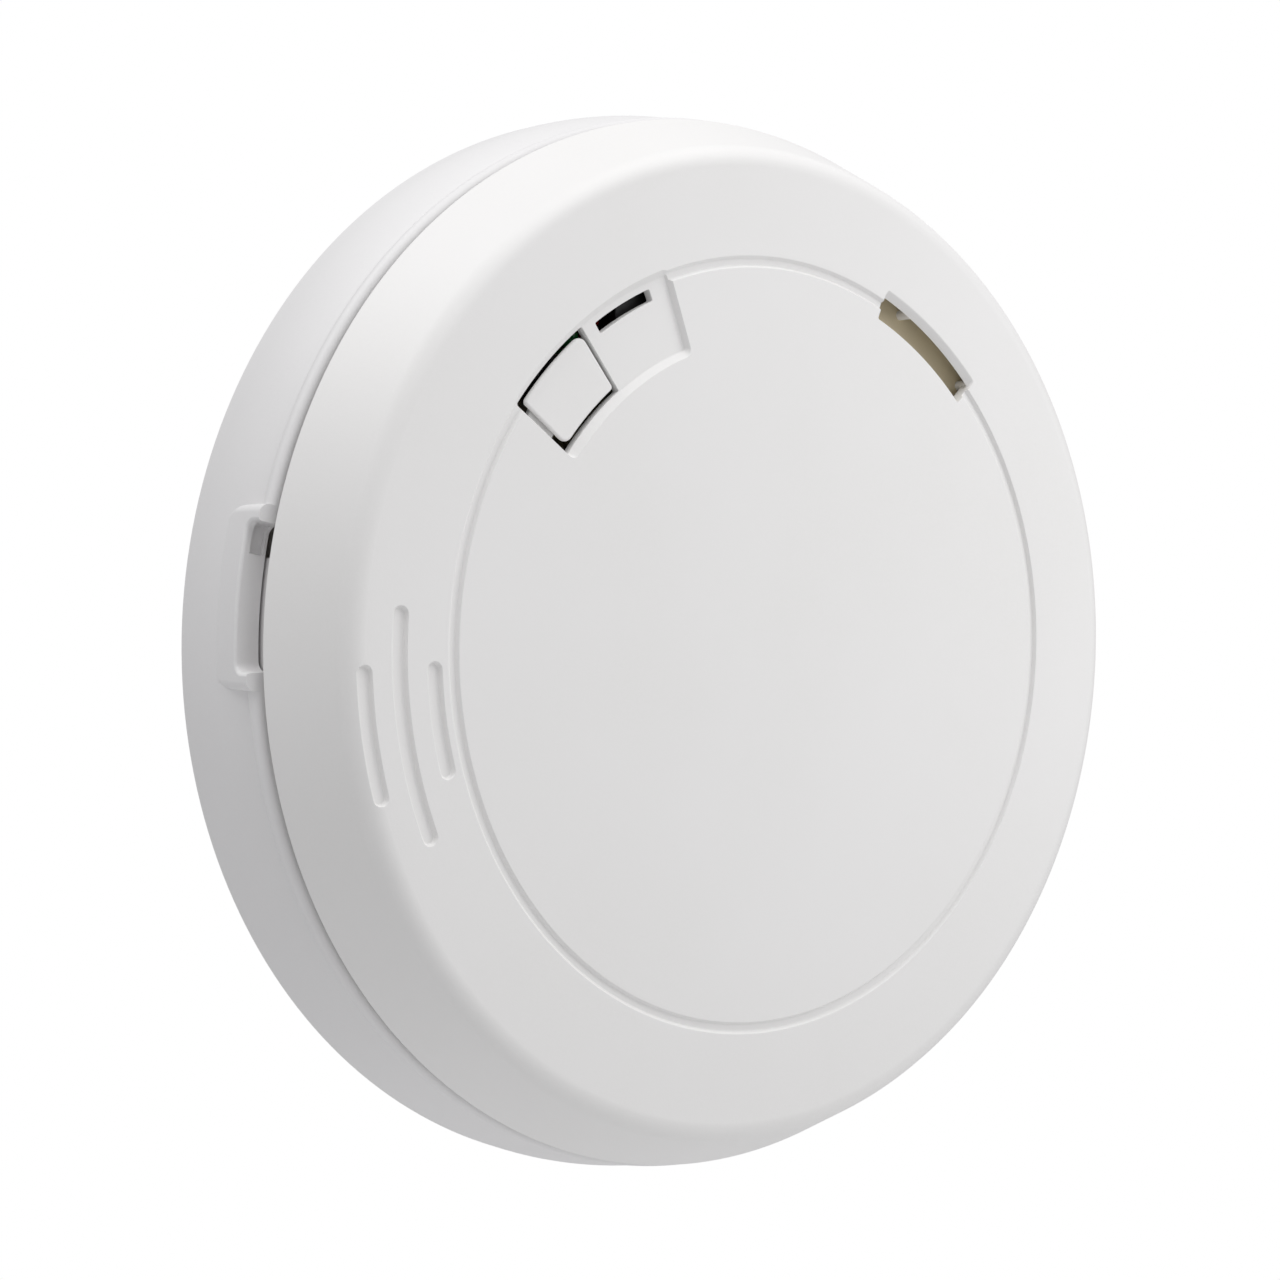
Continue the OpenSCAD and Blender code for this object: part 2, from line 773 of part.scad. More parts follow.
module control_chip() {
    color("#2a2b2e") on_wall() translate([-8, -14, 0]) {
        slab(10, 4, board_top_z + 0.1, board_top_z + 1.7);
        for (i = [0 : 7])
            translate([(i - 3.5) * 1.27, 0, 0]) {
                slab(0.4, 5, board_top_z + 0.4, board_top_z + 0.7);
                for (side = [-1, 1])
                    translate([0, side * 2.75, 0])
                        slab(0.4, 0.7, board_top_z, board_top_z + 0.7);
            }
    }
}

module boost_inductor() {
    color("#1e1f21") on_wall() at_polar(groove_r - 3.5, light_slot_a1 + 0.4) {
        bar(3.5, board_top_z, board_top_z + 1);
        bar(2.6, board_top_z, board_top_z + 5.8);
        bar(3.5, board_top_z + 4.6, board_top_z + 5.8);
    }
}

module electrolytic_capacitors() {
    color("#b7babd") on_wall()
        for (x = [24, 33])
            translate([x, -30, 0]) {
                slab(6.6, 6.6, board_top_z, board_top_z + 0.8);
                bar(3.1, board_top_z, board_top_z + 5.6);
            }
}

module ceramic_capacitors() {
    color("#b08a5e") on_wall()
        for (i = [0 : 3], j = [0 : 1])
            translate([-34 + i * 4.2, -28 - j * 5, 0])
                slab(1.25, 2, board_top_z, board_top_z + 0.9);
}

module resistors() {
    color("#303134") on_wall()
        for (i = [0 : 5], j = [0 : 1])
            translate([-10 + i * 4.2, -24 - j * 6, 0])
                slab(1.25, 2, board_top_z, board_top_z + 0.5);
}

// A 3 mm lamp on the board behind the light slot
module status_led(a) {
    at_polar((light_slot_r1 + light_slot_r2) / 2, a) {
        bar(1.9, board_top_z, board_top_z + 0.9);
        bar(1.5, board_top_z, board_top_z + 3);
        translate([0, 0, board_top_z + 3])
            sphere(r = 1.5);
    }
}

module status_led_red() {
    color("#c4302b") on_wall() status_led(light_slot_a2 - 3);
}

module status_led_green() {
    color("#3aa45a") on_wall() status_led(light_slot_a2 + 1.7);
}

module tact_switch_body() {
    color("#2c2d30") on_wall() at_tact() difference() {
        slab(tact_w, tact_w, board_top_z, tact_top_z);
        bar(plunger_r + 0.08, tact_top_z - 0.8, tact_top_z + e);
    }
}

module tact_plunger() {
    color("#17181a") on_wall() at_tact()
        bar(plunger_r, plunger_z1, plunger_z2);
}

module power_switch_body() {
    color("#35363a") on_wall() difference() {
        ring(finger_r - 3.4, finger_r + 1.2, slider_z1 + 0.6, board_z,
             slider_mid - 5.4, slider_mid + 3.4);
        ring(finger_r - 0.4, finger_r + 2, slider_mid_z - finger_half_h - slide_clear,
             slider_mid_z + finger_half_h + slide_clear,
             slider_mid - finger_half_a - slider_travel - 2 * slider_slack_a,
             slider_mid + finger_half_a + 2 * slider_slack_a);
    }
}

module power_slider() {
    color("#cfcfd2") on_wall() {
        ring(slider_r1, slider_r2, slider_z1, slider_z2, slider_a1, slider_a2);
        ring(finger_r + 3.5, slider_r1 + lap, slider_mid_z - stem_half_h,
             slider_mid_z + stem_half_h, slider_mid - stem_half_a, slider_mid + stem_half_a);
        ring(finger_r + 3.5, housing_in_r - slide_clear, slider_mid_z - 2, slider_mid_z + 2,
             slider_mid - 3.8, slider_mid + 3.8);
        ring(finger_r, finger_r + 3.5 + lap, slider_mid_z - finger_half_h,
             slider_mid_z + finger_half_h, slider_mid - finger_half_a, slider_mid + finger_half_a);
    }
}

// A pan-head screw with a cross recess; its head is at the lower end
module pan_screw(shank_r, head_r, head_h, length) {
    difference() {
        bar(head_r, 0, head_h);
        slab(head_r * 1.2, 0.6, -e, head_h / 2);
        slab(0.6, head_r * 1.2, -e, head_h / 2);
    }
    bar(shank_r, head_h - lap, length);
}

module housing_screws() {
    color("#9a9c9e") on_wall()
        for (a = BOSS_ANGLES)
            at_polar(boss_at_r, a)
                translate([0, 0, screw_head_z1])
                    pan_screw(screw_r, screw_head_r, 1.9, cover_in_z - 1.8 - screw_head_z1);
}

module board_screws() {
    color("#a5a7a9") on_wall()
        for (a = BOARD_SCREW_ANGLES)
            at_polar(board_screw_r, a)
                translate([0, 0, board_top_z + 1.3])
                    mirror([0, 0, 1])
                        pan_screw(1, 2.2, 1.3, board_t + 7);
}

mounting_bracket();
front_cover();
rear_housing();
test_button();
circuit_board();
smoke_chamber_base();
smoke_chamber_cap();
insect_screen();
infrared_led();
photodiode();
receiver_shield();
horn_housing();
horn_baffle();
piezo_disc();
piezo_ceramic();
horn_contacts();
lithium_cell();
battery_tab_positive();
battery_tab_negative();
control_chip();
boost_inductor();
electrolytic_capacitors();
ceramic_capacitors();
resistors();
status_led_red();
status_led_green();
tact_switch_body();
tact_plunger();
power_switch_body();
power_slider();
housing_screws();
board_screws();
rating_label();
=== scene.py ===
"""Looks for a slim round smoke alarm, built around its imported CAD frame.

The alarm hangs on a wall: X runs to its right, Z up, and its face looks along -Y.
Pieces are modelled lying on their backs, as on a bench, with Z out of the wall,
and hang() then stands them up. Sizes in the classes are in millimetres.
"""

import json
import logging
import math
from collections.abc import Sequence
from dataclasses import dataclass
from enum import Enum

import bpy
from mathutils import Matrix, Vector

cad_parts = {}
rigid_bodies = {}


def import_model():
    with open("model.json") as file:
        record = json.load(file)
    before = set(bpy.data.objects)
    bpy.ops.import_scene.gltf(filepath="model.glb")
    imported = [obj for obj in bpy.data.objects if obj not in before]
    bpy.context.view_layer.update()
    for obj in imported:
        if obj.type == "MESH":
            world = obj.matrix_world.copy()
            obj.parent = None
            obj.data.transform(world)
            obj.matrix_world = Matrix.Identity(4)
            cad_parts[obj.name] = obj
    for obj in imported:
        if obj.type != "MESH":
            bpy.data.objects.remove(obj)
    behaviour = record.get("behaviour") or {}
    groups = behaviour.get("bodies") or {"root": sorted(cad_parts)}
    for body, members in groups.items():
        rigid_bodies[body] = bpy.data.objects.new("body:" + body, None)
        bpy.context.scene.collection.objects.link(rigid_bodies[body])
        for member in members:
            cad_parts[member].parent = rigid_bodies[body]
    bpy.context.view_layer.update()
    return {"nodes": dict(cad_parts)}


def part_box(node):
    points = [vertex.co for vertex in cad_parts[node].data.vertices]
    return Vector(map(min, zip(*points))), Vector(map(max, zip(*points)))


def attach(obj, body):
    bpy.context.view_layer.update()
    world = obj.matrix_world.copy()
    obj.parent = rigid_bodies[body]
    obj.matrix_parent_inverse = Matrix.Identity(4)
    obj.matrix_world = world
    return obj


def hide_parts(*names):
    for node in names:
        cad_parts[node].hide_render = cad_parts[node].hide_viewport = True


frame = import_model()

MM = 0.001
LOG = logging.getLogger("smoke_alarm")

# Facets round the two large turnings, the small posts and the plain bars
BODY_FACETS = 240
POST_FACETS = 36
BAR_FACETS = 40
# Facets up the bracket's skirt, round its bead, round its window's rim and round the lips
SKIRT_FACETS = 8
BEAD_FACETS = 9
RIM_FACETS = 6
LIP_FACETS = 3
# Largest turn of one facet of a rounded corner, and the turn that counts as a sharp edge
ARC_STEP = math.radians(16)
SHARP_EDGE = math.radians(40)
# Longest flat stretch of a piece that is bent, points closer than this are one point, and
# the smallest rounding that an outline keeps as it shrinks, all in millimetres
BEND_STEP = 1.2
SAME_POINT = 0.0005
LEAST_CORNER = 0.03
# How far a cutter reaches past the surface that it opens, in millimetres
PAST = 1.0
# Gap between the button's post and the switch's plunger, in millimetres
POST_GAP = 0.08

Point = tuple[float, float, float]
Flat = tuple[float, float]


# ---------------------------------------------------------------- bench work


def focus(obj: bpy.types.Object) -> None:
    """Selects one object alone and makes it the active one.

    Args:
        obj: The object that the next operators act on.
    """
    bpy.ops.object.select_all(action="DESELECT")
    obj.select_set(True)
    bpy.context.view_layer.objects.active = obj


def pin(at: Point) -> None:
    """Turns the selected plane into a single point.

    Args:
        at: Where the point goes, in millimetres.
    """
    bpy.ops.mesh.merge(type="CENTER")
    bpy.ops.transform.translate(value=[c * MM for c in at])


def begin(name: str, at: Point) -> bpy.types.Object:
    """Starts a piece as a single point, in edit mode.

    Args:
        name: The new object's name.
        at: Where the point goes, in millimetres.

    Returns:
        The object, whose origin is the middle of the wall face.
    """
    bpy.ops.object.select_all(action="DESELECT")
    bpy.ops.mesh.primitive_plane_add(size=MM)
    obj = bpy.context.object
    obj.name = obj.data.name = name
    bpy.ops.object.mode_set(mode="EDIT")
    bpy.ops.mesh.select_all(action="SELECT")
    pin(at)
    return obj


def draw(points: Sequence[Point]) -> None:
    """Extrudes the selected point along a line of points, the first being where it is.

    Args:
        points: The corners of the line, in millimetres.
    """
    for here, there in zip(points, points[1:]):
        step = [(b - a) * MM for a, b in zip(here, there)]
        bpy.ops.mesh.extrude_vertices_move(TRANSFORM_OT_translate={"value": step})


def tidy_shell() -> None:
    """Merges doubles, turns the faces outwards and leaves edit mode."""
    bpy.ops.mesh.select_all(action="SELECT")
    bpy.ops.mesh.remove_doubles(threshold=SAME_POINT * MM)
    bpy.ops.mesh.normals_make_consistent(inside=False)
    bpy.ops.object.mode_set(mode="OBJECT")


def lathe(name: str, outline: Sequence[Flat], steps: int) -> bpy.types.Object:
    """Turns a half section round the alarm's axis into a closed solid.

    Args:
        name: The new object's name.
        outline: Radius and height of each point, from the axis back to the axis.
        steps: How many facets go round.

    Returns:
        The solid.
    """
    points = [(r, 0.0, z) for r, z in outline]
    obj = begin(name, points[0])
    draw(points)
    bpy.ops.mesh.select_all(action="SELECT")
    bpy.ops.mesh.spin(
        steps=steps, angle=math.tau, center=(0, 0, 0), axis=(0, 0, 1)
    )
    tidy_shell()
    return obj


def sector(
    name: str, outline: Sequence[Flat], first: float, last: float, step: float = 1.5
) -> bpy.types.Object:
    """Turns a closed section through part of a circle.

    Args:
        name: The new object's name.
        outline: Radius and height of each corner of the section.
        first: Direction of the start, in degrees.
        last: Direction of the end, in degrees.
        step: Largest angle of one facet.

    Returns:
        The closed solid.
    """
    c, s = math.cos(math.radians(first)), math.sin(math.radians(first))
    points = [(r * c, r * s, z) for r, z in outline]
    obj = begin(name, points[0])
    draw(points)
    bpy.ops.mesh.select_all(action="SELECT")
    bpy.ops.mesh.edge_face_add()
    bpy.ops.mesh.spin(
        steps=max(1, round((last - first) / step)),
        angle=math.radians(last - first),
        center=(0, 0, 0),
        axis=(0, 0, -1),
    )
    tidy_shell()
    return obj


def loft(name: str, rings: Sequence[Sequence[Point]]) -> bpy.types.Object:
    """Joins a row of flat outlines into a closed solid.

    Args:
        name: The new object's name.
        rings: The outlines in order, each with the same number of corners.

    Returns:
        The closed solid.
    """
    obj = begin(name, rings[0][0])
    for i, ring in enumerate(rings):
        if i:
            bpy.ops.mesh.primitive_plane_add(size=MM)
            pin(ring[0])
        draw(ring)
        bpy.ops.mesh.select_linked()
        bpy.ops.mesh.edge_face_add()
    bpy.ops.mesh.select_all(action="SELECT")
    bpy.ops.mesh.delete(type="ONLY_FACE")
    bpy.ops.mesh.select_all(action="SELECT")
    bpy.ops.mesh.bridge_edge_loops()
    bpy.ops.mesh.select_all(action="SELECT")
    bpy.ops.mesh.fill_holes(sides=0)
    tidy_shell()
    return obj


def bar(name: str, radius: float, low: float, high: float, edge: float) -> bpy.types.Object:
    """Makes a round bar along Z with rounded rims.

    Args:
        name: The new object's name.
        radius: Its radius.
        low: Height of its lower end.
        high: Height of its upper end.
        edge: Radius of its rims.

    Returns:
        The bar, on the axis.
    """
    outline = rounded(
        [(0, low, 0), (radius, low, edge), (radius, high, edge), (0, high, 0)]
    )
    return lathe(name, outline, BAR_FACETS)


def rounded(corners: Sequence[Point]) -> list[Flat]:
    """Rounds the corners of a flat line.

    Args:
        corners: The two coordinates of each corner and its rounding radius.

    Returns:
        The line's points, with an arc in place of each rounded corner.
    """
    line: list[Flat] = []
    for i, (x, y, radius) in enumerate(corners):
        here = Vector((x, y))
        if radius <= 0 or i in (0, len(corners) - 1):
            line.append((x, y))
            continue
        back = (Vector(corners[i - 1][:2]) - here).normalized()
        on = (Vector(corners[i + 1][:2]) - here).normalized()
        half = back.angle(on) / 2
        middle = here + (back + on).normalized() * (radius / math.sin(half))
        start = here + back * (radius / math.tan(half)) - middle
        turn = math.pi - 2 * half
        sign = 1 if start.y * back.x - start.x * back.y > 0 else -1
        count = max(2, math.ceil(turn / ARC_STEP))
        for k in range(count + 1):
            p = Matrix.Rotation(sign * turn * k / count, 2) @ start + middle
            line.append((p.x, p.y))
    return line


def ring_box(
    r1: float, r2: float, a1: float, a2: float, corners: Sequence[float], step: float = 1.0
) -> list[Flat]:
    """Outlines a box that is bent round the axis, with rounded corners.

    Args:
        r1: Inner radius.
        r2: Outer radius.
        a1: First direction, in degrees.
        a2: Last direction, in degrees.
        corners: Rounding at inner first, outer first, outer last and inner last.
        step: Largest angle between two points of the long sides.

    Returns:
        The outline's points, anticlockwise.
    """
    middle = (r1 + r2) / 2
    span = math.radians(a2 - a1) * middle
    box = [(r1, 0.0), (r2, 0.0), (r2, span), (r1, span)]
    loop = [(*p, c) for p, c in zip(box, corners)]
    start = (r1, span / 2, 0.0)
    flat = rounded([start, *loop, start])[:-1]
    gap = math.radians(step) * middle
    points: list[Flat] = []
    for (x1, y1), (x2, y2) in zip(flat, [*flat[1:], flat[0]]):
        count = max(1, round(abs(y2 - y1) / gap))
        for k in range(count):
            u, v = x1 + (x2 - x1) * k / count, y1 + (y2 - y1) * k / count
            a = math.radians(a1) + v / middle
            points.append((u * math.cos(a), u * math.sin(a)))
    return points


def at_height(outline: Sequence[Flat], z: float) -> list[Point]:
    """Lays a flat outline at a height above the wall, in millimetres."""
    return [(x, y, z) for x, y in outline]


def box_ring(
    span: tuple[float, float, float, float],
    corners: Sequence[float],
    grow: float,
    z: float,
    grow_out: float | None = None,
) -> list[Point]:
    """Outlines a bent box at a height, made larger or smaller all round.

    Args:
        span: Inner and outer radius, first and last direction.
        corners: Rounding of its four corners, as in ring_box().
        grow: How far the outline is moved out.
        z: Height above the wall.
        grow_out: How far the outer side is moved out, if that differs.

    Returns:
        The outline's points.
    """
    r1, r2, a1, a2 = span
    middle = (r1 + r2) / 2
    outer = grow if grow_out is None else grow_out
    wide = math.degrees(grow / middle)
    rounds = [max(c + grow, LEAST_CORNER) for c in corners]
    outline = ring_box(r1 - grow, r2 + grow, a1 - wide, a2 + wide, rounds)
    if outer == grow:
        return at_height(outline, z)
    points = []
    for x, y in outline:
        radius = math.hypot(x, y)
        share = max(0.0, (radius - middle) / (r2 + grow - middle))
        wider = (radius + share * (outer - grow)) / radius
        points.append((x * wider, y * wider, z))
    return points


def round_over(radius: float, count: int = 4) -> list[Flat]:
    """Lists the steps of a rounded edge, from an upright side to a flat top.

    Args:
        radius: Radius of the rounding.
        count: How many facets it has.

    Returns:
        How far each step has drawn in, and how far it has risen.
    """
    turns = [math.pi / 2 * k / count for k in range(count + 1)]
    return [(radius * (1 - math.cos(t)), radius * math.sin(t)) for t in turns]


def place(obj: bpy.types.Object, turn: float, shift: Point = (0, 0, 0)) -> None:
    """Turns a piece about the axis, then shifts it, and applies both.

    Args:
        obj: The piece, in object mode.
        turn: Anticlockwise turn, in degrees.
        shift: The shift, in millimetres.
    """
    focus(obj)
    obj.rotation_euler = (0, 0, math.radians(turn))
    obj.location = [c * MM for c in shift]
    bpy.ops.object.transform_apply(location=True, rotation=True, scale=True)


def polar(radius: float, angle: float, z: float = 0) -> Point:
    """Gives the point at a radius and a direction, at a height."""
    a = math.radians(angle)
    return (radius * math.cos(a), radius * math.sin(a), z)


class Mix(Enum):
    """How a second solid is put together with the first."""

    CUT = "DIFFERENCE"
    ADD = "UNION"


def combine(obj: bpy.types.Object, other: bpy.types.Object, mix: Mix) -> None:
    """Cuts one solid out of another, or joins it on, and removes it.

    Args:
        obj: The solid that stays.
        other: The solid that is used up.
        mix: Whether it is cut out or joined on.
    """
    focus(obj)
    modifier = obj.modifiers.new("mix", "BOOLEAN")
    modifier.object, modifier.operation, modifier.solver = other, mix.value, "EXACT"
    bpy.ops.object.modifier_apply(modifier=modifier.name)
    bpy.data.objects.remove(other)


def soften(obj: bpy.types.Object, width: float, segments: int = 2) -> None:
    """Rounds every sharp edge of a clean solid.

    Args:
        obj: The solid.
        width: Width of the rounding.
        segments: Facets across it.
    """
    focus(obj)
    modifier = obj.modifiers.new("edges", "BEVEL")
    modifier.width, modifier.segments = width * MM, segments
    modifier.limit_method, modifier.angle_limit = "ANGLE", SHARP_EDGE
    bpy.ops.object.modifier_apply(modifier=modifier.name)


def wrap(obj: bpy.types.Object, radius: float, angle: float) -> None:
    """Bends a flat solid round the axis.

    The solid is drawn with X along the skirt, Z out of the wall and -Y outwards,
    so that its points at Y = 0 come to lie at the radius.

    Args:
        obj: The solid.
        radius: Radius that Y = 0 is bent to.
        angle: Direction of the middle of the piece, in degrees.
    """
    focus(obj)
    reach = max(abs(v.co.x) for v in obj.data.vertices)
    bpy.ops.object.mode_set(mode="EDIT")
    count = math.ceil(2 * reach / (BEND_STEP * MM))
    for k in range(1, count):
        bpy.ops.mesh.select_all(action="SELECT")
        x = -reach + 2 * reach * k / count
        bpy.ops.mesh.bisect(plane_co=(x, 0, 0), plane_no=(1, 0, 0))
    bpy.ops.object.mode_set(mode="OBJECT")
    modifier = obj.modifiers.new("bend", "SIMPLE_DEFORM")
    modifier.deform_method, modifier.deform_axis = "BEND", "Z"
    modifier.angle = 2 * reach / (radius * MM)
    bpy.ops.object.modifier_apply(modifier=modifier.name)
    place(obj, 0, (0, -radius, 0))
    place(obj, angle + 90)


def hang(obj: bpy.types.Object, angle: float = 32) -> None:
    """Stands a finished piece up against the wall and smooths its shading.

    Args:
        obj: The piece.
        angle: Faces that meet at less than this many degrees shade as one.
    """
    focus(obj)
    obj.rotation_euler = (math.pi / 2, 0, 0)
    bpy.ops.object.transform_apply(location=True, rotation=True, scale=True)
    bpy.ops.object.shade_smooth_by_angle(angle=math.radians(angle))
    modifier = obj.modifiers.new("normals", "WEIGHTED_NORMAL")
    modifier.keep_sharp = True
    bpy.ops.object.modifier_apply(modifier=modifier.name)


# ------------------------------------------------------------------ finishes


def linear(code: str) -> tuple[float, float, float, float]:
    """Turns an sRGB hex colour into the linear colour that the shader takes.

    Args:
        code: The colour, as #rrggbb.

    Returns:
        Linear red, green, blue and an alpha of 1.
    """
    parts = [int(code[i : i + 2], 16) / 255 for i in (1, 3, 5)]
    r, g, b = (c / 12.92 if c <= 0.04045 else ((c + 0.055) / 1.055) ** 2.4 for c in parts)
    return (r, g, b, 1.0)


def add_node(
    tree: bpy.types.NodeTree,
    kind: str,
    values: dict[str, object] | None = None,
    **settings: object,
) -> bpy.types.Node:
    """Adds a node with its settings, socket values and links.

    Args:
        tree: The material's or world's node tree.
        kind: The node's type, without its ShaderNode prefix.
        values: A value or an output socket for each named or numbered input.
        **settings: The node's own properties.

    Returns:
        The node.
    """
    node = tree.nodes.new("ShaderNode" + kind)
    for name, value in settings.items():
        setattr(node, name, value)
    for key, value in (values or {}).items():
        socket = node.inputs[int(key) if key.isdigit() else key]
        if isinstance(value, bpy.types.NodeSocket):
            tree.links.new(value, socket)
        else:
            socket.default_value = value
    return node


def blend_colours(
    tree: bpy.types.NodeTree, factor: bpy.types.NodeSocket, first: object, second: object
) -> bpy.types.NodeSocket:
    """Mixes two colours by a factor.

    Args:
        tree: The node tree.
        factor: The socket that says how much of the second colour shows.
        first: A linear colour or a colour socket.
        second: A linear colour or a colour socket.

    Returns:
        The mixed colour's socket.
    """
    values = {"0": factor, "6": first, "7": second}
    return add_node(tree, "Mix", values, data_type="RGBA").outputs[2]


# Patches per metre of the slow drift of colour, and the part of its noise that shows
DRIFT_SCALE = 28.0
DRIFT_DETAIL = 3.0
DRIFT_FROM, DRIFT_TO = 0.35, 0.65
# Detail and roughness of the noise that makes a moulded or printed grain
GRAIN_DETAIL, GRAIN_ROUGHNESS = 2.0, 0.6
# How much the roughness varies, as a share of its mean
ROUGH_SPREAD = 0.12
BUMP_STRENGTH = 0.6
COAT_ROUGHNESS = 0.15
# A drawn surface's grains run along X, where its pattern is read this much slower
DRAWN_STRETCH = (0.06, 1.0, 1.0)
# At a scale of 1 the wave texture repeats after tau / 20 of a unit; threads waver a little
WAVE_SCALE = math.tau / 20
WAVE_WAVER = 0.4


class Grain(Enum):
    """How a surface was made, which sets the pattern of its relief."""

    SPARKED = "spark-eroded mould"
    POLISHED = "polished mould"
    DRAWN = "drawn or rolled"
    WOVEN = "woven glass under a resin"
    FIRED = "fired powder"
    PRINTED = "printed film"


@dataclass(frozen=True)
class Finish:
    """A real material with the surface that its making gives it.

    Attributes:
        name: The material's name.
        colour: Its main colour.
        shade: The colour that it drifts to.
        grain: How its surface was made.
        grain_mm: Real width of one grain, thread or scratch.
        relief_mm: Depth of the relief.
        roughness: Its mean roughness.
        ior: Its index of refraction; metals keep the default.
        metallic: 1 for a bare metal.
        coat: Weight of a clear coat or resin on top.
        transmission: How much light goes through it.
    """

    name: str
    colour: str
    shade: str
    grain: Grain
    grain_mm: float
    relief_mm: float
    roughness: float
    ior: float = 1.5
    metallic: float = 0.0
    coat: float = 0.0
    transmission: float = 0.0

    def material(self) -> bpy.types.Material:
        """Makes the material, or finds it if it is already made.

        Returns:
            The material.
        """
        made = bpy.data.materials.get(self.name)
        if made:
            return made
        made = bpy.data.materials.new(self.name)
        made.use_nodes = True
        tree = made.node_tree
        tree.nodes.clear()
        place_on = add_node(tree, "TexCoord").outputs["Object"]
        height, mottle = self._pattern(tree, place_on)
        drift = add_node(
            tree, "TexNoise", {"Vector": place_on, "Scale": DRIFT_SCALE, "Detail": DRIFT_DETAIL}
        ).outputs["Fac"]
        tone = add_node(
            tree,
            "MapRange",
            {"0": drift, "1": DRIFT_FROM, "2": DRIFT_TO, "3": 0.0, "4": 1.0},
        ).outputs["Result"]
        worn = add_node(
            tree, "Math", {"0": tone, "1": mottle}, operation="MULTIPLY"
        ).outputs["Value"]
        colour = blend_colours(tree, worn, linear(self.colour), linear(self.shade))
        spread = ROUGH_SPREAD * self.roughness
        rough = add_node(
            tree,
            "MapRange",
            {"0": mottle, "3": self.roughness - spread, "4": self.roughness + spread},
        ).outputs["Result"]
        bump = add_node(
            tree,
            "Bump",
            {
                "Height": height,
                "Strength": BUMP_STRENGTH,
                "Distance": self.relief_mm * MM,
            },
        ).outputs["Normal"]
        shader = add_node(
            tree,
            "BsdfPrincipled",
            {
                "Base Color": colour,
                "Roughness": rough,
                "Normal": bump,
                "Metallic": self.metallic,
                "IOR": self.ior,
                "Coat Weight": self.coat,
                "Coat Roughness": COAT_ROUGHNESS,
                "Transmission Weight": self.transmission,
            },
        )
        add_node(tree, "OutputMaterial", {"Surface": shader.outputs["BSDF"]})
        return made

    def _pattern(
        self, tree: bpy.types.NodeTree, place_on: bpy.types.NodeSocket
    ) -> tuple[bpy.types.NodeSocket, bpy.types.NodeSocket]:
        """Adds the relief that the surface's making gives it.

        Args:
            tree: The material's node tree.
            place_on: The socket with Object coordinates.

        Returns:
            The sockets with the height and with a mottle from 0 to 1.
        """
        scale = 1 / (self.grain_mm * MM)
        if self.grain is Grain.DRAWN:
            place_on = add_node(
                tree, "Mapping", {"Vector": place_on, "Scale": DRAWN_STRETCH}
            ).outputs["Vector"]
        if self.grain is Grain.WOVEN:
            waves = {
                "Vector": place_on,
                "Scale": scale * WAVE_SCALE,
                "Distortion": WAVE_WAVER,
            }
            warp, weft = (
                add_node(tree, "TexWave", waves, bands_direction=way).outputs["Fac"]
                for way in ("X", "Z")
            )
            height = add_node(
                tree, "Math", {"0": warp, "1": weft}, operation="MAXIMUM"
            ).outputs["Value"]
            return height, height
        if self.grain is Grain.FIRED:
            cells = add_node(tree, "TexVoronoi", {"Vector": place_on, "Scale": scale})
            return cells.outputs["Distance"], cells.outputs["Distance"]
        noise = add_node(
            tree,
            "TexNoise",
            {
                "Vector": place_on,
                "Scale": scale,
                "Detail": GRAIN_DETAIL,
                "Roughness": GRAIN_ROUGHNESS,
            },
        ).outputs["Fac"]
        return noise, noise


# White ABS from a spark-eroded mould: an even, satin skin with no sharp glints. The
# real grit is about 0.05 mm; it is drawn at 0.3 mm, the finest that still shows.
COVER_ABS = Finish(
    "abs_white_satin_moulded", "#f3f2f1", "#efeeec", Grain.SPARKED, 0.3, 0.012, 0.46, 1.53
)
# The same plastic from another mould, a touch warmer and duller
BRACKET_ABS = Finish(
    "abs_white_bracket_moulded", "#eeeded", "#e9e8e8", Grain.SPARKED, 0.32, 0.014, 0.52, 1.53
)
# Unpainted ABS of the hidden housing, greyer than the outside
HOUSING_ABS = Finish(
    "abs_grey_white_housing_moulded", "#d9d6d1", "#cdc8c1", Grain.SPARKED, 0.4, 0.02, 0.58, 1.53
)
# Tan phenolic sheet, punched: dull, with a faint mottle that reads as pressed fibre
BAFFLE_LAMINATE = Finish(
    "phenolic_tan_punched_sheet", "#e0d3b4", "#d2c5a5", Grain.SPARKED, 0.6, 0.02, 0.6
)
# Acetal of the slider: grey-white and slightly waxy
SLIDER_POM = Finish(
    "acetal_grey_slider_moulded", "#e2e0e0", "#d8d6d6", Grain.POLISHED, 0.5, 0.008, 0.38, 1.48
)
# Glass-epoxy board with a dull olive-tan resist; the weave is about 0.5 mm
BOARD_FR4 = Finish(
    "glass_epoxy_board_olive_resist", "#9a8f76", "#8a7f66", Grain.WOVEN, 0.5, 0.006, 0.42, 1.55,
    coat=0.15,
)
# Black carbon-filled plastic of the smoke chamber, matt so that it takes up stray light
CHAMBER_BLACK = Finish(
    "abs_black_chamber_matt", "#1b1b1d", "#232325", Grain.SPARKED, 0.35, 0.02, 0.72, 1.53
)
# Black glass-filled plastic of the horn
HORN_BLACK = Finish(
    "pbt_black_horn_moulded", "#1f2022", "#2a2a2c", Grain.SPARKED, 0.4, 0.012, 0.5, 1.55
)
# Epoxy and ferrite of the small components
COMPONENT_BLACK = Finish(
    "epoxy_black_component_moulded", "#1a1a1c", "#242322", Grain.SPARKED, 0.25, 0.008, 0.44,
    1.55,
)
# Etched stainless sheet
SCREEN_STEEL = Finish(
    "stainless_steel_etched_sheet", "#a9abac", "#8f9192", Grain.DRAWN, 0.3, 0.004, 0.36,
    metallic=1.0,
)
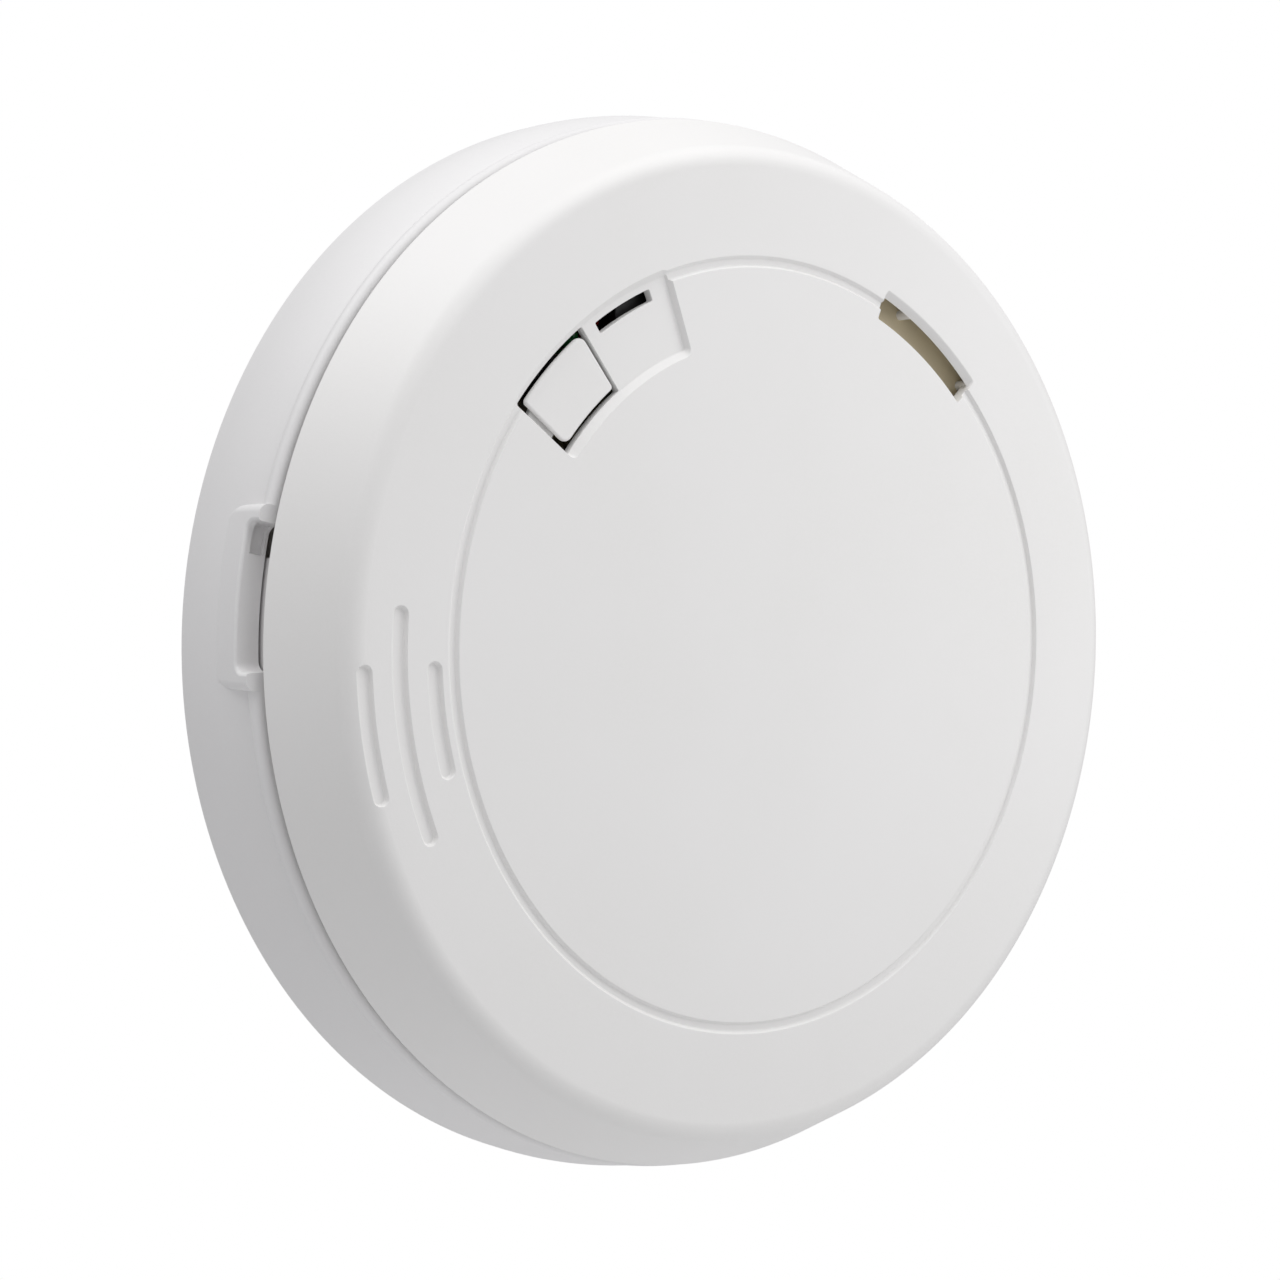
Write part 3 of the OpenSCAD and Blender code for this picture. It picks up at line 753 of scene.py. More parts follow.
# Tin over steel: bright but slightly milky
TINNED_STEEL = Finish(
    "tinned_steel_pressed", "#c2c4c5", "#a8aaab", Grain.DRAWN, 0.4, 0.004, 0.32, metallic=1.0
)
# Nickel strip, rolled
NICKEL_STRIP = Finish(
    "nickel_strip_rolled", "#bdbab2", "#a29f97", Grain.DRAWN, 0.35, 0.005, 0.34, metallic=1.0
)
# Zinc-plated screws
SCREW_STEEL = Finish(
    "zinc_plated_steel_screw", "#b4b8bc", "#97999b", Grain.POLISHED, 0.3, 0.006, 0.3,
    metallic=1.0,
)
# Brass sounder disc with a rolled grain
SOUNDER_BRASS = Finish(
    "brass_rolled_disc", "#c9a45a", "#a8843f", Grain.DRAWN, 0.3, 0.004, 0.3, metallic=1.0
)
# Fired piezo ceramic: chalky, fine grains
SOUNDER_CERAMIC = Finish(
    "piezo_ceramic_fired", "#d8d4c6", "#c6c1b0", Grain.FIRED, 0.35, 0.006, 0.66, 1.9
)
# Shrunk PVC sleeve of the cell
CELL_SLEEVE = Finish(
    "pvc_blue_shrink_sleeve", "#36628f", "#2f5880", Grain.POLISHED, 0.8, 0.01, 0.28, 1.54,
    coat=0.3,
)
# Clear epoxy of the infrared lamp
CLEAR_EPOXY = Finish(
    "epoxy_clear_cast", "#dfe6f0", "#d4dce8", Grain.POLISHED, 0.6, 0.002, 0.12, 1.55,
    transmission=0.6,
)
# Black daylight-blocking epoxy of the photodiode
DARK_EPOXY = Finish(
    "epoxy_black_cast", "#15161a", "#1d1e22", Grain.POLISHED, 0.6, 0.002, 0.16, 1.55
)
# Aluminium cans
CAN_ALUMINIUM = Finish(
    "aluminium_drawn_can", "#b9bcc0", "#9ea1a5", Grain.DRAWN, 0.3, 0.005, 0.34, metallic=1.0
)
# Fired bodies of the chip capacitors
CHIP_CERAMIC = Finish(
    "chip_ceramic_fired", "#b48d62", "#a07b52", Grain.FIRED, 0.2, 0.004, 0.5, 1.6
)
# Tinted epoxy of the two lamps
RED_EPOXY = Finish(
    "epoxy_red_cast", "#b3221e", "#8f1a17", Grain.POLISHED, 0.6, 0.002, 0.18, 1.55,
    transmission=0.35,
)
GREEN_EPOXY = Finish(
    "epoxy_green_cast", "#2c8f4a", "#23763c", Grain.POLISHED, 0.6, 0.002, 0.18, 1.55,
    transmission=0.35,
)
# Pale matt floor under the alarm
FLOOR_PALE = Finish(
    "floor_pale_matt", "#fcfcfc", "#fafafa", Grain.SPARKED, 4.0, 0.02, 0.8
)
# Blank silver-white polyester label
LABEL_FILM = Finish(
    "polyester_label_film", "#dcdcd9", "#d2d2ce", Grain.PRINTED, 0.5, 0.003, 0.4, 1.6
)

NODE_FINISHES: dict[str, Finish] = {
    "mounting_bracket": BRACKET_ABS,
    "front_cover": COVER_ABS,
    "rear_housing": HOUSING_ABS,
    "test_button": COVER_ABS,
    "circuit_board": BOARD_FR4,
    "smoke_chamber_base": CHAMBER_BLACK,
    "smoke_chamber_cap": CHAMBER_BLACK,
    "insect_screen": SCREEN_STEEL,
    "infrared_led": CLEAR_EPOXY,
    "photodiode": DARK_EPOXY,
    "receiver_shield": TINNED_STEEL,
    "horn_housing": HORN_BLACK,
    "horn_baffle": BAFFLE_LAMINATE,
    "piezo_disc": SOUNDER_BRASS,
    "piezo_ceramic": SOUNDER_CERAMIC,
    "horn_contacts": NICKEL_STRIP,
    "lithium_cell": CELL_SLEEVE,
    "battery_tab_positive": NICKEL_STRIP,
    "battery_tab_negative": NICKEL_STRIP,
    "control_chip": COMPONENT_BLACK,
    "boost_inductor": COMPONENT_BLACK,
    "electrolytic_capacitors": CAN_ALUMINIUM,
    "ceramic_capacitors": CHIP_CERAMIC,
    "resistors": COMPONENT_BLACK,
    "status_led_red": RED_EPOXY,
    "status_led_green": GREEN_EPOXY,
    "tact_switch_body": COMPONENT_BLACK,
    "tact_plunger": COMPONENT_BLACK,
    "power_switch_body": COMPONENT_BLACK,
    "power_slider": SLIDER_POM,
    "housing_screws": SCREW_STEEL,
    "board_screws": SCREW_STEEL,
    "rating_label": LABEL_FILM,
}


def dress(obj: bpy.types.Object, finish: Finish) -> None:
    """Gives a piece or a carried-over part one finish all over."""
    obj.data.materials.clear()
    obj.data.materials.append(finish.material())


def deliver(
    obj: bpy.types.Object,
    name: str,
    body: str,
    material_slot: str,
    finish: Finish,
    *nodes: str,
) -> None:
    """Names and dresses a new piece and ties it to the frame.

    Args:
        obj: The finished piece.
        name: Its name.
        body: The CAD body that it rides on.
        material_slot: The record's slot for its finish; not used.
        finish: Its finish.
        *nodes: The CAD nodes that it stands for.
    """
    obj.name = obj.data.name = name
    dress(obj, finish)
    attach(obj, body)
    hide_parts(*nodes)
    LOG.info("%s: %d faces on %s", obj.name, len(obj.data.polygons), body)


# -------------------------------------------------------------------- pieces


@dataclass
class ButtonHinge:
    """Where the test button's flap hinges, just past the left end of its hole.

    Attributes:
        radius: Distance of the hinge's middle from the axis.
        angle: Direction of the hinge.
        height: Height of the pin above the wall.
    """

    radius: float = 46.175
    angle: float = 145.175
    height: float = 24.9

    def block(self, name: str, box: Sequence[float], edge: float) -> bpy.types.Object:
        """Makes a block in the hinge's own frame, X along its pin.

        Args:
            name: The new object's name.
            box: Lowest and highest X, Y and Z.
            edge: Width of its rounded edges, or 0.

        Returns:
            The block, in its place.
        """
        x1, x2, y1, y2, z1, z2 = box
        outline = [(x1, y1), (x2, y1), (x2, y2), (x1, y2)]
        obj = loft(name, [at_height(outline, z1), at_height(outline, z2)])
        if edge:
            soften(obj, edge)
        self.seat(obj)
        return obj

    def rod(self, name: str, radius: float, half: float, edge: float) -> bpy.types.Object:
        """Makes a round rod along the pin.

        Args:
            name: The new object's name.
            radius: Its radius.
            half: Half its length.
            edge: Radius of its rims.

        Returns:
            The rod, in its place.
        """
        obj = bar(name, radius, -half, half, edge)
        focus(obj)
        obj.rotation_euler = (0, math.pi / 2, 0)
        bpy.ops.object.transform_apply(location=True, rotation=True, scale=True)
        place(obj, 0, (0, 0, self.height))
        self.seat(obj)
        return obj

    def seat(self, obj: bpy.types.Object) -> None:
        """Moves a piece from the hinge's own frame to the hinge."""
        place(obj, self.angle, polar(self.radius, self.angle))


@dataclass
class FrontCover:
    """The white front cover, with its groove, recess, slots and short marks.

    An opening is given as its inner and outer radius and its first and last direction.

    Attributes:
        face: Height of the flat face.
        radius: Radius of the rear edge.
        rear: Height of the rear edge.
        wall: Thickness of the wall.
        lean: How far the side draws in between the rear edge and the face.
        shoulder_r: Rounding between the side and the face.
        groove_r: Radius of the round groove's middle.
        groove_half: Half the groove's width at the face.
        groove_side: How far each side of the groove slopes in.
        groove_depth: Depth of the groove.
        groove_lip: Rounding of the groove's corners.
        recess: The shallow sunk area.
        recess_depth: How far it is sunk.
        recess_slope: How far its sides slope out.
        recess_foot: How far in, and how far up, the corner of its floor reaches.
        recess_corner: Rounding of its four corners.
        recess_end: How much less its two ends slope, as a share.
        button_hole: The opening round the test button.
        button_lip: Rounding of its corners and of its lips.
        light_slot: The narrow slot over the lamps.
        light_lip: Rounding of its corners and of its lips.
        horn_slot: The horn opening.
        horn_corners: Rounding of its corners, as in ring_box().
        horn_lip: Rounding of its lips.
        horn_mouth: How far its outer side stands out behind the face.
        horn_flare: How far its outer side slopes out at the face.
        horn_skin: Thickness of the wall that is left round it.
        horn_room: How far outside it the wall is thinned.
        baffle_pegs: Radius and direction of each peg.
        baffle_z: Height of the baffle's two faces.
        peg_r: Radius of a peg's head, its stem and its foot.
        peg_head: Height of a peg's head.
        peg_edge: Rounding of the head.
        mark_angle: Direction of the middle of the marks.
        mark_half: Half a mark's width.
        mark_side: How far each step of a mark's side stands out, and its height.
        marks: Radius of each mark, and half its angle.
        boss_angles: Direction of each screw boss.
        boss_at: Radius that the bosses stand at.
        boss_r: Radius of a boss.
        boss_low: Height of a boss's open end.
        boss_edge: Rounding of its open end.
        boss_sink: How far it reaches into the wall.
        screw_hole_r: Radius of its blind hole.
        screw_stop: Thickness of what is left over the hole.
        screw_edge: Rounding of the hole's ends.
        ear_at: How far each hinge ear stands from the hinge's middle.
        ear: Half thickness, half width and drop of an ear.
        web_room: Half width, reach behind and reach in front of the room for the web.
        pin_room: Radius and half length of the room for the pin.
    """

    face: float
    radius: float
    rear: float = 16.5
    wall: float = 2.0
    lean: float = 5.5
    shoulder_r: float = 3.4
    groove_r: float = 50.9
    groove_half: float = 0.75
    groove_side: float = 0.32
    groove_depth: float = 0.5
    groove_lip: float = 0.18
    recess: tuple[float, float, float, float] = (41.1, 51.1, 110.2, 143.5)
    recess_depth: float = 0.8
    recess_slope: float = 0.85
    recess_foot: tuple[float, float] = (0.12, 0.05)
    recess_corner: float = 0.3
    recess_end: float = 0.5
    button_hole: tuple[float, float, float, float] = (41.25, 51.05, 127.4, 143.45)
    button_lip: tuple[float, float] = (0.2, 0.1)
    light_slot: tuple[float, float, float, float] = (48.7, 50.25, 113.7, 125.0)
    light_lip: tuple[float, float] = (0.2, 0.12)
    horn_slot: tuple[float, float, float, float] = (48.85, 51.5, 43.8, 66.3)
    horn_corners: tuple[float, ...] = (0.25, 0.4, 0.4, 0.25)
    horn_lip: float = 0.12
    horn_mouth: float = 0.85
    horn_flare: float = 1.7
    horn_skin: float = 0.75
    horn_room: float = 3.7
    baffle_pegs: tuple[tuple[float, float], ...] = ((53.2, 43.4), (53.2, 59.6))
    baffle_z: tuple[float, float] = (23.2, 24.2)
    peg_r: tuple[float, float, float] = (0.8, 0.5, 0.7)
    peg_head: float = 0.4
    peg_edge: float = 0.12
    mark_angle: float = 188.7
    mark_half: float = 1.05
    mark_side: tuple[Flat, ...] = (
        (-0.42, -0.6),
        (-0.26, -0.57),
        (-0.14, -0.45),
        (-0.08, -0.25),
        (0, -0.06),
        (0.1, 0.02),
        (0.1, PAST),
    )
    marks: tuple[tuple[float, float], ...] = ((53.7, 7.7), (58.65, 14.4), (63.6, 7.7))
    boss_angles: tuple[float, ...] = (20.0, 100.0, 235.0, 305.0)
    boss_at: float = 60.8
    boss_r: float = 3.2
    boss_low: float = 18.3
    boss_edge: float = 0.3
    boss_sink: float = 0.4
    screw_hole_r: float = 1.35
    screw_stop: float = 1.1
    screw_edge: float = 0.2
    ear_at: float = 3.9
    ear: tuple[float, float, float] = (0.8, 1.8, 2.0)
    web_room: tuple[float, float, float] = (3.05, 3.6, 1.7)
    pin_room: tuple[float, float] = (0.85, 5.3)

    def build(self, hinge: ButtonHinge) -> bpy.types.Object:
        """Models the cover.

        Args:
            hinge: The test button's hinge, which the cover carries.

        Returns:
            The finished cover.
        """
        cover = self._shell()
        for angle in self.boss_angles:
            combine(cover, self._boss(angle), Mix.ADD)
        half, wide, drop = self.ear
        for mid in (-self.ear_at, self.ear_at):
            upright = (hinge.height - drop, self.face - self.wall + 0.1)
            ear = hinge.block("ear", (mid - half, mid + half, -wide, wide, *upright), 0)
            combine(cover, ear, Mix.ADD)
        for cutter in self._cutters(hinge):
            combine(cover, cutter, Mix.CUT)
        for radius, angle in self.baffle_pegs:
            combine(cover, self._peg(radius, angle), Mix.ADD)
        hang(cover)
        return cover

    def _shell(self) -> bpy.types.Object:
        """Turns the cover's section, with its groove, into a solid.

        Returns:
            The shell.
        """
        face, rear, inside = self.face, self.rear, self.face - self.wall
        corner = self.radius - self.lean
        slope = self.lean / (face - rear)
        skin = self.wall * math.hypot(1, slope)
        first, last = self.groove_r - self.groove_half, self.groove_r + self.groove_half
        side, floor, lip = self.groove_side, face - self.groove_depth, self.groove_lip
        outline = rounded(
            [
                (0, face, 0),
                (first, face, lip),
                (first + side, floor, lip),
                (last - side, floor, lip),
                (last, face, lip),
                (corner, face, self.shoulder_r),
                (self.radius, rear, 0.15),
                (self.radius - skin, rear, 0.25),
                (corner + slope * self.wall - skin, inside, 1.0),
                (0, inside, 0),
            ]
        )
        return lathe("front_cover_shell", outline, BODY_FACETS)

    def _boss(self, angle: float) -> bpy.types.Object:
        """Makes one screw boss with its blind hole.

        Args:
            angle: Its direction.

        Returns:
            The boss.
        """
        low, high, hole = self.boss_low, self.face - self.wall, self.screw_hole_r
        outline = rounded(
            [
                (0, high - self.screw_stop, 0),
                (hole, high - self.screw_stop, self.screw_edge),
                (hole, low, self.screw_edge),
                (self.boss_r, low, self.boss_edge),
                (self.boss_r, high + self.boss_sink, 0),
                (0, high + self.boss_sink, 0),
            ]
        )
        boss = lathe("boss", outline, POST_FACETS)
        place(boss, 0, polar(self.boss_at, angle))
        return boss

    def _peg(self, radius: float, angle: float) -> bpy.types.Object:
        """Makes one stepped peg that carries the horn baffle.

        Args:
            radius: How far it stands from the axis.
            angle: Its direction.

        Returns:
            The peg.
        """
        low, high = self.baffle_z
        head, stem, foot = self.peg_r
        end, top = low - self.peg_head, self.face - self.horn_skin + 0.05
        outline = [(0, end, 0), (head, end, self.peg_edge), (head, low, 0), (stem, low, 0)]
        outline += [(stem, high, 0), (foot, high, 0), (foot, top, 0), (0, top, 0)]
        peg = lathe("peg", rounded(outline), POST_FACETS)
        place(peg, 0, polar(radius, angle))
        return peg

    def _cutters(self, hinge: ButtonHinge) -> list[bpy.types.Object]:
        """Makes every solid that is cut out of the shell.

        Args:
            hinge: The test button's hinge, whose web and pin need room.

        Returns:
            The cutters.
        """
        floor = self.face - self.recess_depth
        high = self.face - self.wall
        wide, behind, front = self.web_room
        room = (-wide, wide, -behind, front, high - 0.1, high + 0.9)
        return [
            self._recess(),
            self._opening("button_hole", self.button_hole, floor, *self.button_lip),
            self._opening("light_slot", self.light_slot, floor, *self.light_lip),
            self._horn_pocket(),
            self._horn_opening(),
            *[self._mark(r, half) for r, half in self.marks],
            hinge.block("web_room", room, 0),
            hinge.rod("pin_room", *self.pin_room, 0),
        ]

    def _recess(self) -> bpy.types.Object:
        """Makes the shallow recess's cutter, whose sides slope all round.

        Returns:
            The cutter, with its two ends steeper than its long sides.
        """
        floor, out = self.face - self.recess_depth, self.recess_slope
        foot_in, foot_up = self.recess_foot
        levels = [(-foot_in, floor), (0.0, floor + foot_up)]
        levels += [(out, self.face), (out * 1.3, self.face + 0.3)]
        r1, r2, a1, a2 = self.recess
        corners = (self.recess_corner,) * 4
        rings = []
        for grow, z in levels:
            steep = math.degrees(self.recess_end * grow / ((r1 + r2) / 2))
            span = (r1, r2, a1 + steep, a2 - steep)
            rings.append(box_ring(span, corners, grow, z))
        return loft("recess", rings)

    def _opening(
        self,
        name: str,
        span: tuple[float, float, float, float],
        top: float,
        corner: float,
        edge: float,
    ) -> bpy.types.Object:
        """Makes the cutter of a curved through opening with rounded lips.

        Args:
            name: The cutter's name.
            span: Inner and outer radius, first and last direction.
            top: Height of the surface that it opens from.
            corner: Rounding of its four corners.
            edge: Radius of its lips.

        Returns:
            The cutter.
        """
        levels = [(0.0, self.face - self.wall - PAST)]
        lip = round_over(edge, LIP_FACETS)[:-1]
        levels += [(grow, top - edge + rise) for grow, rise in lip]
        levels += [(edge, top + 0.02), (edge, self.face + PAST)]
        return loft(name, [box_ring(span, (corner,) * 4, *level) for level in levels])

    def _horn_pocket(self) -> bpy.types.Object:
        """Makes the cutter that thins the wall outside the horn opening from behind.

        Returns:
            The cutter.
        """
        r1, r2, a1, a2 = self.horn_slot
        near, far = r1 + 0.5, r2 + self.horn_room
        low, ledge = self.face - self.wall - PAST, self.face - self.horn_skin
        outline = [(near, low), (far, low), (far, ledge), (near, ledge)]
        return sector("horn_pocket", outline, a1 + 0.05, a2 - 0.05)

    def _horn_opening(self) -> bpy.types.Object:
        """Makes the horn opening's cutter, whose outer side slopes outwards.

        Returns:
            The cutter.
        """
        mouth, flare, edge = self.horn_mouth, self.horn_flare, self.horn_lip
        levels = [
            (0.0, self.face - self.wall - PAST, mouth),
            (0.0, self.face - self.horn_skin, mouth),
            (0.0, self.face - edge, flare - edge),
            (0.4 * edge, self.face - 0.3 * edge, flare + edge),
            (edge, self.face + 0.03, flare + 2 * edge),
            (edge, self.face + PAST, flare + 2 * edge),
        ]
        rings = [box_ring(self.horn_slot, self.horn_corners, *level) for level in levels]
        return loft("horn_opening", rings)

    def _mark(self, radius: float, half: float) -> bpy.types.Object:
        """Makes the cutter of one short blind mark with round ends and soft lips.

        Args:
            radius: Radius of its middle line.
            half: Half the angle that it spans.

        Returns:
            The cutter.
        """
        width = self.mark_half
        span = (radius - width, radius + width, self.mark_angle - half, self.mark_angle + half)
        levels = [(grow, self.face + z) for grow, z in self.mark_side]
        corners = (width - 0.02,) * 4
        return loft("mark", [box_ring(span, corners, *level) for level in levels])


@dataclass
class TestButton:
    """The push button: a flap with soft edges on a hinge web and pin.

    Attributes:
        span: Inner and outer radius, first and last direction of its top.
        corners: Rounding of its four corners.
        low: Height of its underside.
        top: Height of its top.
        edge: Rounding of its top edge.
        plate: Thickness of its top, under which the body is narrower.
        undercut: How much narrower the body is all round.
        neck: How far in, and how far under the plate, the body widens to it.
        post_r: Radius of the post that reaches to the switch.
        lever: Distance from the hinge to the post.
        web: Half width, reach and thickness of the hinge web.
        barrel: Radius and half length of the pin's thick part.
        stubs: Radius and half length of the pin itself.
        part_edge: Rounding of the web and the barrel.
        stub_edge: Rounding of the pin's ends.
        post_edge: Rounding of the post's ends.
    """

    span: tuple[float, float, float, float] = (42.0, 50.35, 127.96, 142.38)
    corners: tuple[float, float, float, float] = (0.55, 1.3, 0.55, 1.3)
    low: float = 24.9
    top: float = 26.7
    edge: float = 0.35
    plate: float = 0.5
    undercut: float = 1.0
    neck: tuple[float, float] = (0.9, 0.25)
    post_r: float = 1.5
    lever: float = 9.5
    web: tuple[float, float, float] = (2.3, 4.4, 1.0)
    barrel: tuple[float, float] = (1.2, 2.8)
    stubs: tuple[float, float] = (0.8, 4.3)
    part_edge: float = 0.15
    stub_edge: float = 0.1
    post_edge: float = 0.25

    def build(self, hinge: ButtonHinge, post_low: float) -> bpy.types.Object:
        """Models the button.

        Args:
            hinge: Its hinge.
            post_low: Height of the lower end of its post, over the switch.

        Returns:
            The finished button.
        """
        under = self.top - self.plate
        neck_in, neck_drop = self.neck
        levels = [(-self.undercut, self.low), (-neck_in, under - neck_drop), (0.0, under)]
        rim = self.top - self.edge
        levels += [(-inward, rim + up) for inward, up in round_over(self.edge)]
        rings = [box_ring(self.span, self.corners, *level) for level in levels]
        button = loft("test_button_flap", rings)
        post = bar("post", self.post_r, post_low, self.low + 0.1, self.post_edge)
        place(post, hinge.angle, polar(hinge.radius, hinge.angle))
        a = math.radians(hinge.angle)
        place(post, 0, (self.lever * math.sin(a), -self.lever * math.cos(a), 0))
        wide, reach, thick = self.web
        web = (-wide, wide, -reach, 0.0, hinge.height, hinge.height + thick)
        for part in (
            post,
            hinge.block("web", web, self.part_edge),
            hinge.rod("barrel", *self.barrel, self.part_edge),
            hinge.rod("stubs", *self.stubs, self.stub_edge),
        ):
            combine(button, part, Mix.ADD)
        hang(button)
        return button


@dataclass
class WallBracket:
    """The dish-shaped wall bracket, with its bead, window rim, hooks and screw holes.

    Attributes:
        radius: Radius at the wall.
        plate: Thickness of the back plate.
        skirt_wall: Thickness of the skirt.
        foot: Height at which the skirt starts to curve in.
        lean: How far the skirt draws in up to the bead.
        bead_low: Height of the bead's lower side.
        bead_high: Height of the bead's top.
        bead_r: Radius of the bead's outside.
        bead_start: Turn at which the bead leaves the skirt, in degrees.
        foot_draft: How far the skirt's inside draws in at the plate.
        window: First and last direction of the side window.
        window_low: Height of its lower edge.
        notch_end: Last direction of its deeper end.
        notch_drop: How much lower the deeper end is.
        rim_r: Radius of the window's raised rim.
        rim_end: How far the rim passes each end of the window, in degrees.
        rim_low: Height of the rim's lower edge.
        rim_edge: Rounding of the rim.
        rim_corner: Rounding of its two lower corners.
        rim_depth: How far its pad reaches back into the skirt.
        lip_edge: Rounding of the window's outer lips.
        window_corner: Rounding of the window's two lower corners.
        window_depth: How far its cutter reaches in.
        notch_corner: Rounding of the deeper end's lower corners.
        notch_depth: Where the deeper end starts and ends, behind the rim's surface.
        hook_angles: Direction of each bayonet hook.
        hook_r: Radius of a hook's lip, its wall's inside and its outside.
        hook_z: Height of the lip's underside and of the hook's top.
        hook_a: Directions of the stop, the lip's start and the hook's end.
        screw_spacing: Distance between opposite screw holes.
        slot_half: Half the length of a screw slot.
        hole_r: Radius of a screw hole.
    """

    radius: float
    plate: float = 2.0
    skirt_wall: float = 1.7
    foot: float = 3.0
    lean: float = 2.2
    bead_low: float = 12.9
    bead_high: float = 15.2
    bead_r: float = 71.5
    bead_start: float = -52.0
    foot_draft: float = 0.2
    window: tuple[float, float] = (167.2, 181.8)
    window_low: float = 12.6
    notch_end: float = 170.3
    notch_drop: float = 0.8
    rim_r: float = 72.5
    rim_end: float = 1.8
    rim_low: float = 6.4
    rim_edge: float = 1.3
    rim_corner: float = 3.2
    rim_depth: float = 2.8
    lip_edge: float = 0.5
    window_corner: float = 1.2
    window_depth: float = 5.5
    notch_corner: float = 0.4
    notch_depth: tuple[float, float] = (2.9, 1.0)
    hook_angles: tuple[float, ...] = (90.0, 210.0, 330.0)
    hook_r: tuple[float, float, float] = (58.5, 61.4, 63.4)
    hook_z: tuple[float, float] = (4.4, 5.8)
    hook_a: tuple[float, float, float] = (-8.1, -6.9, 6.5)
    screw_spacing: float = 80.0
    slot_half: float = 6.0
    hole_r: float = 2.3

    def build(self) -> bpy.types.Object:
        """Models the bracket.

        Returns:
            The finished bracket.
        """
        bracket = self._dish()
        combine(bracket, self._rim(), Mix.ADD)
        for angle in self.hook_angles:
            for part in self._hook(angle):
                combine(bracket, part, Mix.ADD)
        combine(bracket, self._window(), Mix.CUT)
        combine(bracket, self._notch(), Mix.CUT)
        for cutter in self._screw_holes():
            combine(bracket, cutter, Mix.CUT)
        hang(bracket)
        return bracket

    def _dish(self) -> bpy.types.Object:
        """Turns the plate, the curved skirt and the bead in one piece.

        Returns:
            The dish.
        """
        height = self.bead_low - self.foot
        bend = (height**2 + self.lean**2) / (2 * self.lean)
        sweep = math.asin(height / bend)
        turns = [sweep * k / SKIRT_FACETS for k in range(SKIRT_FACETS + 1)]
        curve = [
            (self.radius - bend * (1 - math.cos(t)), self.foot + bend * math.sin(t))
            for t in turns
        ]
        half = (self.bead_high - self.bead_low) / 2
        middle = (self.bead_r - half, self.bead_low + half)
        bow = 90 - self.bead_start
        turns = [
            math.radians(self.bead_start + bow * k / BEAD_FACETS)
            for k in range(BEAD_FACETS + 1)
        ]
        bead = [(middle[0] + half * math.cos(t), middle[1] + half * math.sin(t)) for t in turns]
        inner = self.radius - self.lean - self.skirt_wall
        inside_foot = self.radius - self.skirt_wall
        outer = rounded([(0, 0, 0), (self.radius, 0, 0.5), (*curve[0], 0)])
        inside = rounded(
            [
                (*bead[-1], 0),
                (inner, self.bead_high, 0.25),
                (inner, self.bead_low, 0.6),
                (inside_foot, self.foot, 1.0),
                (inside_foot - self.foot_draft, self.plate, 0.5),
                (0, self.plate, 0),
            ]
        )
        outline = [*outer[:-1], *curve, *bead, *inside[1:]]
        return lathe("mounting_bracket_dish", outline, BODY_FACETS)

    def _pad(
        self, wide: float, low: float, high: float, corner: float, depth: float
    ) -> list[Point]:
        """Outlines an upright pad on the flat, with its two lower corners rounded.

        Args:
            wide: Half its width.
            low: Height of its lower edge.
            high: Height of its upper edge.
            corner: Rounding of the two lower corners.
            depth: How far the outline lies behind the rim's surface.

        Returns:
            The outline's points.
        """
        line = rounded(
            [
                (0, low, 0),
                (wide, low, corner),
                (wide, high, 0),
                (-wide, high, 0),
                (-wide, low, corner),
                (0, low, 0),
            ]
        )[:-1]
        return [(x, depth, z) for x, z in line]

    def _rim(self) -> bpy.types.Object:
        """Makes the soft raised rim round the side window.

        Returns:
            The rim.
        """
        first, last = self.window
        wide = math.radians(last - first + 2 * self.rim_end) * self.rim_r / 2
        edge, high = self.rim_edge, self.bead_high - 0.03
        levels = [(0.0, self.rim_depth)]
        levels += [(inward, edge - up) for inward, up in round_over(edge, RIM_FACETS)]
        low, corner = self.rim_low, self.rim_corner
        rings = [
            self._pad(wide - inward, low + inward, high, corner - inward, depth)
            for inward, depth in levels
        ]
        rim = loft("rim", rings)
        wrap(rim, self.rim_r, (first + last) / 2)
        return rim

    def _window(self) -> bpy.types.Object:
        """Makes the window's cutter, with rounded outer lips.

        Returns:
            The cutter.
        """
        first, last = self.window
        wide = math.radians(last - first) * self.rim_r / 2
        edge, high = self.lip_edge, self.bead_high + 3
        levels = [(0.0, self.window_depth)]
        levels += [(out, edge - up) for out, up in round_over(edge)[:-1]]
        levels += [(edge, -0.03), (edge, -2 * PAST)]
        low, corner = self.window_low, self.window_corner
        rings = [
            self._pad(wide + out, low - out, high, corner + out, depth)
            for out, depth in levels
        ]
        window = loft("window", rings)
        wrap(window, self.rim_r, (first + last) / 2)
        return window

    def _notch(self) -> bpy.types.Object:
        """Makes the cutter of the window's deeper end, beside the slider.

        Returns:
            The cutter.
        """
        first, last = self.window[0], self.notch_end
        wide = math.radians(last - first) * self.rim_r / 2
        low, high = self.window_low - self.notch_drop, self.window_low + PAST
        corner = self.notch_corner
        rings = [self._pad(wide, low, high, corner, depth) for depth in self.notch_depth]
        notch = loft("notch", rings)
        wrap(notch, self.rim_r, (first + last) / 2)
        return notch

    def _hook(self, angle: float) -> list[bpy.types.Object]:
        """Makes one bayonet hook: its wall with the lip, and its stop.

        Args:
            angle: Its direction.

        Returns:
            The two parts of the hook.
        """
        lip_in, inner, outer = self.hook_r
        lip_z, top = self.hook_z
        stop, start, end = (angle + a for a in self.hook_a)
        low = self.plate - 0.2
        hook = [(inner, low), (outer, low), (outer, top)]
        hook += [(lip_in, top), (lip_in, lip_z), (inner, lip_z)]
        near, far, high = lip_in + 0.05, inner + 0.3, top - 0.05
        block = [(near, low), (far, low), (far, high), (near, high)]
        return [
            sector("hook_wall", hook, stop, end),
            sector("hook_stop", block, stop + 0.05, start),
        ]

